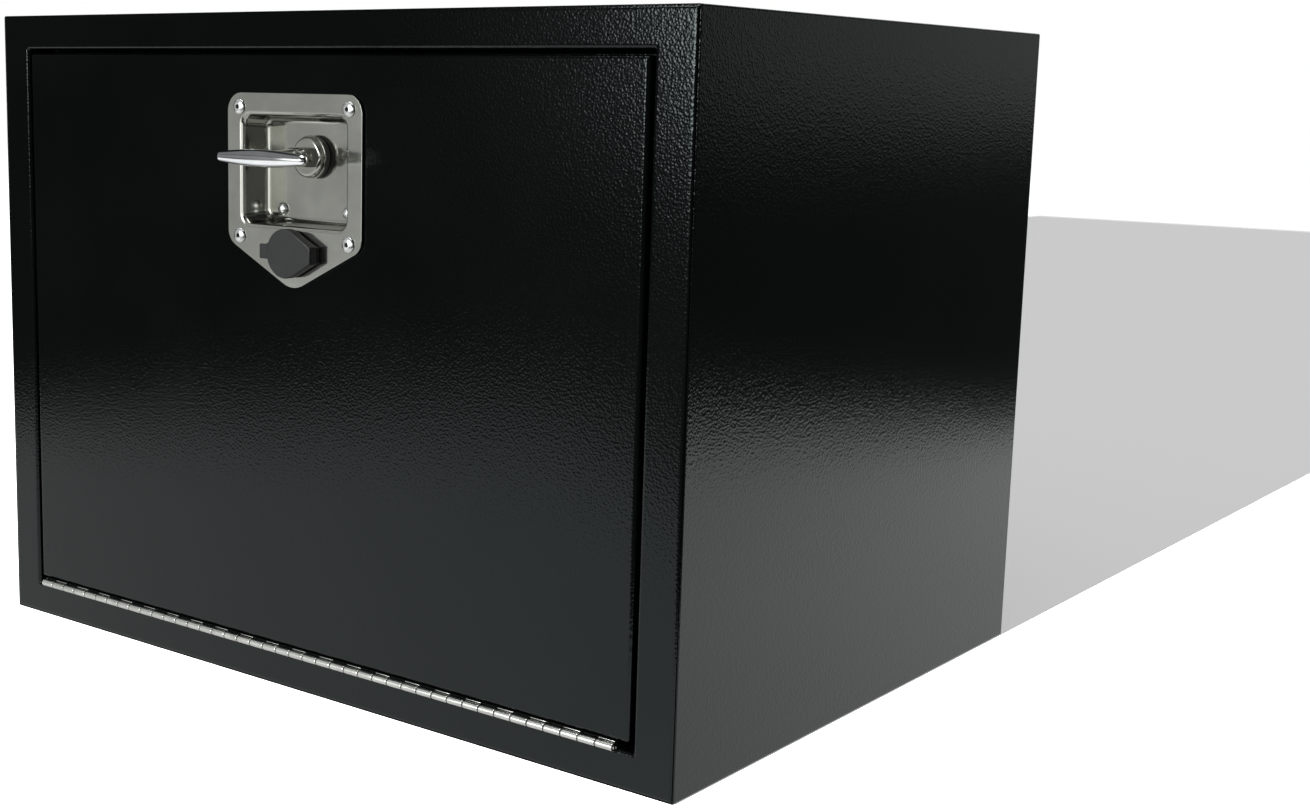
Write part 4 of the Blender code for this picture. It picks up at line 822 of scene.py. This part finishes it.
# A turned ring with rounded outer edges
def ringSeal():
    radius, front, back, edge = hub["sealRadius"], hub["sealFront"], hub["sealBack"], hub["sealEdge"]
    profile = np.concatenate([
        [(hub["sealBore"], front)], bend(radius - edge, front + edge, edge, 270, 360, 5, 0.1),
        bend(radius - edge, back - edge, edge, 0, 90, 5, 0.1), [(hub["sealBore"], back)],
    ])
    return turned(profile, (0, 0, latch["spindle"]), sides=128)


handle = {
    "reach": 33.7,  # from the pivot to the bar's axis
    "half": 39.5,
    "radius": 5.75,
    "end": 3.4,
    "web": (13.0, 3.6),
    "waist": 17.0,
    "waistHalf": 4.8,
    "start": 6.6,
    "startHalf": 5.6,
    "startEdge": 0.5,
    "neckCorner": 1.8,
    "tongueHalf": 2.9,
    "tongueRadius": 5.0,
    "tongueSink": 2,
}


# Half the bar: the radius grows from the end as a quarter sine, and a rounded nose closes it
def handleBar():
    half, radius, end = handle["half"], handle["radius"], handle["end"]
    share = np.linspace(0, 1, 25)
    taper = np.stack([end + (radius - end) * np.sin(np.pi / 2 * share), -(half - end) * (1 - share)], -1)
    turns = np.radians(np.linspace(0, 90, 11))[:-1]
    nose = np.stack([end * np.sin(turns), -(half - end) - end * np.cos(turns)], -1)
    left = np.concatenate([nose, taper])
    profile = np.concatenate([left, (left * (1, -1))[-2::-1]])
    return turned(profile, (0, hub["pivot"] - handle["reach"], latch["spindle"]), "x", 64)


# The neck: rounded rectangles from the web at the bar to the waist and the tongue, blended by cosines
def handleShank():
    bar, waist, start = (hub["pivot"] - handle[key] for key in ("reach", "waist", "start"))
    even = np.linspace(0, 1, 13)
    share, edge = (1 - np.cos(np.pi * even)) / 2, handle["startEdge"]
    turns = np.radians(np.linspace(0, 90, 5))

    # Half sizes along the neck, with the rounded edge at its end
    def blended(web):
        middle, last = handle["waistHalf"], handle["startHalf"]
        half = np.concatenate([web + (middle - web) * share, middle + (last - middle) * share[1:]])
        return np.concatenate([half[:-1], half[-1] - edge * (1 - np.cos(turns))])

    y = np.concatenate([bar + (waist - bar) * even, waist + (start - waist) * even[1:]])
    y = np.concatenate([y[:-1], start - edge + edge * np.sin(turns)])
    width, height = (blended(web) for web in handle["web"])
    z = latch["spindle"]
    outlines = roundedRectangle(width, z - height, z + height, np.full(len(y), handle["neckCorner"]), 6, 0.3)
    return stacked(capped(outlines, (0, z)), np.r_[y[0], y, y[-1]])


# The tongue in the fork: its half-round end is behind the pivot, so the outline (y, z) is turned round
def handleTongue():
    back = hub["pivot"] - handle["start"] - handle["tongueSink"]

    def outline(inset):
        ahead = halfRound(handle["tongueRadius"], 2 * hub["pivot"] - back, inset)
        return np.stack([2 * hub["pivot"] - ahead[:, 0], ahead[:, 1]], -1)

    return slab(outline, -handle["tongueHalf"], handle["tongueHalf"], 0.3, "x")


makePiece("hubSpindle", [hubBody(), *forkEars(), spindleSquare()], stainless, "spindle", ["hub_spindle"])
makePiece("hubRingSeal", [ringSeal()], ringRubber, "spindle", ["hub_ring_seal"])
makePiece("pivotPin", [pivotPin()], stainless, "spindle", ["pivot_pin"])
makePiece("foldingHandle", [handleBar(), handleShank(), handleTongue()], chrome, "handle", ["t_handle"])
print("hub and handle made")


# Lock cover and its strap
lock = {
    "z": 295.7,
    "cover": 16.0,
    "coverBack": -3.7,
    "coverFront": -10.5,
    "coverEdge": 0.9,
    "hingeReach": 23.5,
    "hingeHalf": 5.5,
    "tabStart": 12,
    "tabReach": 27.0,
    "tabHalf": 4.8,
    "tabSheet": 2.4,
    "tabCorner": 0.8,
    "tabEdge": 0.4,
    "tabGap": 0.3,
    "base": 13.0,
    "baseHalf": 5.0,
    "baseFront": -3.4,
    "baseSheet": 1,
    "baseEdge": 0.2,
}


# A circle drawn out by its tangents to a straight edge on the right
def hingedOutline(radius, half, inset=0, steps=48):
    radius, half, reach = radius - inset, half - inset, lock["hingeReach"] - inset
    lean = math.atan2(half, reach) + math.acos(radius / math.hypot(half, reach))
    turns = np.linspace(lean, 2 * math.pi - lean, steps + 1)
    arc = np.stack([radius * np.cos(turns), lock["z"] + radius * np.sin(turns)], -1)
    ends = np.array([(reach, lock["z"] - half), (reach, lock["z"] + half)])
    return np.concatenate([arc, ends])


# The cap with its rounded edge, and the pull tab behind its left side
def lockCover():
    z, half, back, start = lock["z"], lock["tabHalf"], lock["coverBack"], lock["tabStart"]
    tabHalf = (lock["tabReach"] - start) / 2

    def capOutline(inset):
        return hingedOutline(lock["cover"], lock["hingeHalf"], inset)

    def tabOutline(inset):
        return shrunkRectangle((tabHalf, z - half, z + half, lock["tabCorner"]), inset) - (start + tabHalf, 0)

    cap = slab(capOutline, lock["coverFront"], back, lock["coverEdge"], steps=6)
    return [cap, slab(tabOutline, back - lock["tabSheet"], back - lock["tabGap"], lock["tabEdge"])]


# The flat strap behind the cap
def coverBase():
    def outline(inset):
        return hingedOutline(lock["base"], lock["baseHalf"], inset)

    return slab(outline, lock["baseFront"], lock["baseFront"] + lock["baseSheet"], lock["baseEdge"])


makePiece("lockCover", lockCover(), coverRubber, "cover", ["lock_cover"])
makePiece("coverBase", [coverBase()], coverRubber, "door", ["lock_cover_base"])
print("lock cover made")


# Inner pieces: copies of the CAD nodes, merged and shaded smooth over their bends
def smoothCopy(node, material, body, weld=0.000001, sharpAngle=40):
    mesh = nodes[node].data.copy()
    shape = bmesh.new()
    shape.from_mesh(mesh)
    bmesh.ops.remove_doubles(shape, verts=shape.verts, dist=weld)
    shape.to_mesh(mesh)
    shape.free()
    mesh.shade_smooth()
    mesh.set_sharp_from_angle(angle=math.radians(sharpAngle))
    mesh.materials.clear()
    mesh.materials.append(material)
    name = "".join(word.title() if place else word for place, word in enumerate(node.split("_")))
    piece = addObject(name, mesh)
    weighted = piece.modifiers.new("faceWeights", "WEIGHTED_NORMAL")
    weighted.keep_sharp = True
    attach(piece, body)
    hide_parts(node)


inner = {
    "box": ["door_seal", "stay_bracket_left", "stay_bracket_right", "stay_stud_left", "stay_stud_right"],
    "door": ["door_inner_pan", "bearing_plate", "spindle_bush", "lock_barrel", "lock_nut", "stay_lug_left",
             "stay_lug_right", "stay_pivot_left", "stay_pivot_right"],
    "stay_left": ["stay_arm_left"],
    "stay_right": ["stay_arm_right"],
    "spindle": ["thrust_washer", "latch_arm", "arm_lock_washer", "arm_nut"],
    "plug": ["lock_plug", "lock_tongue", "tongue_screw"],
}
otherThanZinc = {"door_seal": sealRubber, "door_inner_pan": powder, "lock_barrel": chrome}
for body, members in inner.items():
    for node in members:
        smoothCopy(node, otherThanZinc.get(node, zinc), body)
print("inner pieces made")


# Floor, light and camera
stage = {
    "floor": 9000,
    "cameraGlow": 0.31,  # share of the floor that is plain white to the camera
    "glossGlow": (0.73, 1.0),  # painted light: level of the floor's glow in reflections, in front of the box and at its side
    "glossEdge": (0.2, 0.5),  # metres across the floor over which that level changes
    "worldLight": 0.45,
    "paper": "f4f4f4",
    "paperHalf": 1200,  # half width of the white paper across the view
    "paperNear": 640,  # how far it runs towards the camera
    "shadowLamp": (305, -1650, 637),
    "shadowPower": 620,
    "shadowSize": 0.004,
    "wallTint": "f2ffff",
    "wallGlow": 0.03,
    "wallReach": 5,  # metres, as the next two are
    "wallHeight": 4,
    "clothLift": 0.001,
}
# The camera fitted to the box's edges: angles in radians, lengths of the frame in the photograph's pixels
photo = {
    "yaw": 0.6777157,
    "pitch": 0.1627056,
    "roll": 0.0184727,
    "place": (843.9486, -834.8146, 401.1265),
    "focal": 1819.008,
    "frame": (1310, 809),
    "axis": (498.989, 390.903),  # where the camera's axis meets the frame
    "sensor": 36,
}


# The larger of two values
def larger(tree, first, second):
    return addNode(tree, "ShaderNodeMath", {0: first, 1: second}, operation="MAXIMUM").outputs[0]


# White for what the camera, metal and glass see, plain grey light for the rest
def studioWorld():
    world = bpy.data.worlds.new("studio")
    bpy.context.scene.world = world
    tree = emptyTree(world)
    rays = addNode(tree, "ShaderNodeLightPath").outputs
    seen = larger(tree, rays["Is Camera Ray"], rays["Is Glossy Ray"])
    seen = larger(tree, seen, rays["Is Transmission Ray"])
    level = spread(tree, seen, stage["worldLight"], 1.0)
    background = addNode(tree, "ShaderNodeBackground", {"Color": (1, 1, 1, 1), "Strength": level})
    addNode(tree, "ShaderNodeOutputWorld", {"Surface": background.outputs[0]})


# White paper: it takes the lamps' light, and glows by its own level for the camera and for reflections. Its
# glow in reflections is painted light, lower in front of the box than beside it
def studioFloor():
    reach = stage["floor"] / 1000
    mesh = bpy.data.meshes.new("studioFloor")
    corners = [(-reach, -reach, 0), (reach, -reach, 0), (reach, reach, 0), (-reach, reach, 0)]
    mesh.from_pydata(corners, [], [(0, 1, 2, 3)])
    material, tree, place = startMaterial("paleStudioPaper")
    rays = addNode(tree, "ShaderNodeLightPath").outputs
    reflected = larger(tree, rays["Is Glossy Ray"], rays["Is Transmission Ray"])
    x = addNode(tree, "ShaderNodeSeparateXYZ", {"Vector": place}).outputs["X"]
    (start, end), (front, beside) = stage["glossEdge"], stage["glossGlow"]
    level = addNode(tree, "ShaderNodeMapRange", {
        "Value": x, "From Min": start, "From Max": end, "To Min": front, "To Max": beside,
    }).outputs["Result"]
    level = addNode(tree, "ShaderNodeMapRange", {"Value": reflected, "To Min": 1.0, "To Max": level})
    glow = addNode(tree, "ShaderNodeMath", {
        0: rays["Is Camera Ray"], 1: stage["cameraGlow"], 2: reflected,
    }, operation="MULTIPLY_ADD")
    paper = addNode(tree, "ShaderNodeBsdfDiffuse", {"Color": linearColour(stage["paper"])})
    white = addNode(tree, "ShaderNodeEmission", {"Color": (1, 1, 1, 1), "Strength": level.outputs["Result"]})
    mixed = addNode(tree, "ShaderNodeMixShader", {
        0: glow.outputs[0], 1: paper.outputs[0], 2: white.outputs[0],
    })
    endMaterial(tree, mixed.outputs[0])
    mesh.materials.append(material)
    floor = addObject("studioFloor", mesh)
    floor.visible_diffuse = False
    return floor


# Black cloth beside the white paper and round the studio, which only glossy reflections see: the paper runs
# along the camera's direction, so its strip is turned as the camera is
def darkStudio():
    half, near = stage["paperHalf"] / 1000, -stage["paperNear"] / 1000
    reach, height, lift = stage["wallReach"], stage["wallHeight"], stage["clothLift"]
    strips = [((-reach, -reach), (-half, reach)), ((half, -reach), (reach, reach)),
              ((-half, -reach), (half, near))]
    points = [(x, y, lift) for (left, low), (right, high) in strips
              for x, y in ((left, low), (right, low), (right, high), (left, high))]
    ends = [(-reach, reach), (-reach, -reach), (reach, -reach), (reach, reach)]
    points += [(*place, z) for start, end in zip(ends, ends[1:])
               for place, z in ((start, lift), (end, lift), (end, height), (start, height))]
    points += [(x, y, height) for x, y in (ends[1], ends[2], ends[3], ends[0])]
    mesh = bpy.data.meshes.new("darkStudio")
    mesh.from_pydata(points, [], np.arange(len(points)).reshape(-1, 4).tolist())
    material, tree, place = startMaterial("studioWalls")
    glow = addNode(tree, "ShaderNodeEmission", {
        "Color": linearColour(stage["wallTint"]), "Strength": stage["wallGlow"],
    })
    endMaterial(tree, glow.outputs[0])
    mesh.materials.append(material)
    cloth = addObject("darkStudio", mesh)
    cloth.rotation_euler = (0, 0, photo["yaw"])
    cloth.visible_camera = cloth.visible_diffuse = cloth.visible_transmission = cloth.visible_shadow = False


# Limits a lamp to some objects, or keeps it off them
def linkLight(lamp, pieces, state):
    chosen = bpy.data.collections.new(lamp.name + "Pieces")
    for piece in pieces:
        chosen.objects.link(piece)
    for member in chosen.collection_objects:
        member.light_linking.link_state = state
    lamp.light_linking.receiver_collection = chosen


# The small low lamp in front that draws the shadow on the floor behind the box, and lights nothing else. Its
# light doesn't fade with distance
def shadowLamp(floor):
    lamp = bpy.data.lights.new("shadowLamp", "POINT")
    lamp.energy = stage["shadowPower"]
    lamp.shadow_soft_size = stage["shadowSize"]
    tree = emptyTree(lamp)
    even = addNode(tree, "ShaderNodeLightFalloff", {"Strength": 1.0}).outputs["Constant"]
    glow = addNode(tree, "ShaderNodeEmission", {"Strength": even})
    addNode(tree, "ShaderNodeOutputLight", {"Surface": glow.outputs[0]})
    holder = addObject("shadowLamp", lamp)
    holder.location = toFrame(stage["shadowLamp"])
    linkLight(holder, [floor], "INCLUDE")


# A soft rectangular lamp that faces a target; both places in millimetres
def softLamp(name, place, target, width, height, power, pieces=None):
    lamp = bpy.data.lights.new(name, "AREA")
    lamp.shape = "RECTANGLE"
    lamp.size, lamp.size_y = width / 1000, height / 1000
    lamp.energy = power
    holder = addObject(name, lamp)
    start, end = Vector(toFrame(place)), Vector(toFrame(target))
    turn = (end - start).to_track_quat("-Z", "Y").to_matrix().to_4x4()
    holder.matrix_world = Matrix.Translation(start) @ turn
    linkLight(holder, pieces or [floor], "INCLUDE" if pieces else "EXCLUDE")


# The fitted camera: yaw to the left, pitch down, roll, and the shift of the photograph's frame
def photoCamera():
    camera = bpy.data.cameras.new("photoCamera")
    (width, height), (across, down) = photo["frame"], photo["axis"]
    camera.sensor_width = photo["sensor"]
    camera.lens = photo["sensor"] * photo["focal"] / width
    camera.shift_x, camera.shift_y = (width / 2 - across) / width, (down - height / 2) / width
    camera.clip_end = 100
    yaw, pitch, roll = photo["yaw"], photo["pitch"], photo["roll"]
    forward = Vector((-math.sin(yaw) * math.cos(pitch), math.cos(yaw) * math.cos(pitch), -math.sin(pitch)))
    right = forward.cross(Vector((0, 0, 1))).normalized()
    up = right.cross(forward)
    rolled = (math.cos(roll) * right + math.sin(roll) * up, math.cos(roll) * up - math.sin(roll) * right,
              -forward)
    holder = addObject("photoCamera", camera)
    place = Matrix.Translation(Vector(toFrame(photo["place"])))
    holder.matrix_world = place @ Matrix(rolled).transposed().to_4x4()
    bpy.context.scene.camera = holder


studioWorld()
floor = studioFloor()
darkStudio()
shadowLamp(floor)
metals = {stainless, millSteel, chrome, aluminium, zinc}
meshPieces = [piece for piece in bpy.data.objects if piece.type == "MESH"]
metalPieces = [piece for piece in meshPieces if metals & set(piece.data.materials)]
chromePieces = [piece for piece in metalPieces if chrome in set(piece.data.materials)]
platePieces = [piece for piece in metalPieces if piece not in chromePieces]
platePieces += [bpy.data.objects[name] for name in ("lockCover", "coverBase")]

# Place, target, width, height and power of each lamp, and the pieces that it lights, or all but the floor.
# The cards stand in for the surroundings that the metal shows
lamps = {
    "keyLamp": ((-632, -2318, 800), (250, 0, 400), 800, 800, 13, None),
    "keyCore": ((-632, -2318, 800), (250, 0, 400), 330, 700, 25, None),
    "sideLamp": ((1430, 3010, 750), (305, 300, 350), 1600, 800, 1.05, None),
    "topLamp": ((0, 200, 2300), (0, 200, 0), 2000, 1600, 40, None),
    "plateCard": ((-1514, -1414, 500), (-100, 0, 500), 2600, 1000, 3.9, platePieces),
    "handleCard": ((-1514, -1414, 500), (-100, 0, 500), 2600, 1000, 1.7, chromePieces),
    "frontCard": ((-30, -1999, 500), (-100, 0, 400), 2800, 1000, 13.5, metalPieces),
    "backCard": ((1948, -1434, 500), (-100, 0, 500), 3000, 1200, 2.0, metalPieces),
    "floorCard": ((-1200, -1100, 4), (-1200, -1100, 1000), 1500, 1500, 3.5, platePieces),
    "highCard": ((-1292, -1192, 1769), (-100, 0, 355), 3400, 1500, 8, platePieces),
    "handleHighCard": ((-1292, -1192, 1769), (-100, 0, 355), 3400, 1500, 2.6, chromePieces),
    "handleFloorCard": ((-400, -700, 2), (-400, -700, 1000), 1600, 1200, 2.2, chromePieces),
}
for name, values in lamps.items():
    softLamp(name, *values)
photoCamera()
bpy.context.scene.view_settings.view_transform = "Standard"
print("floor, light and camera made")
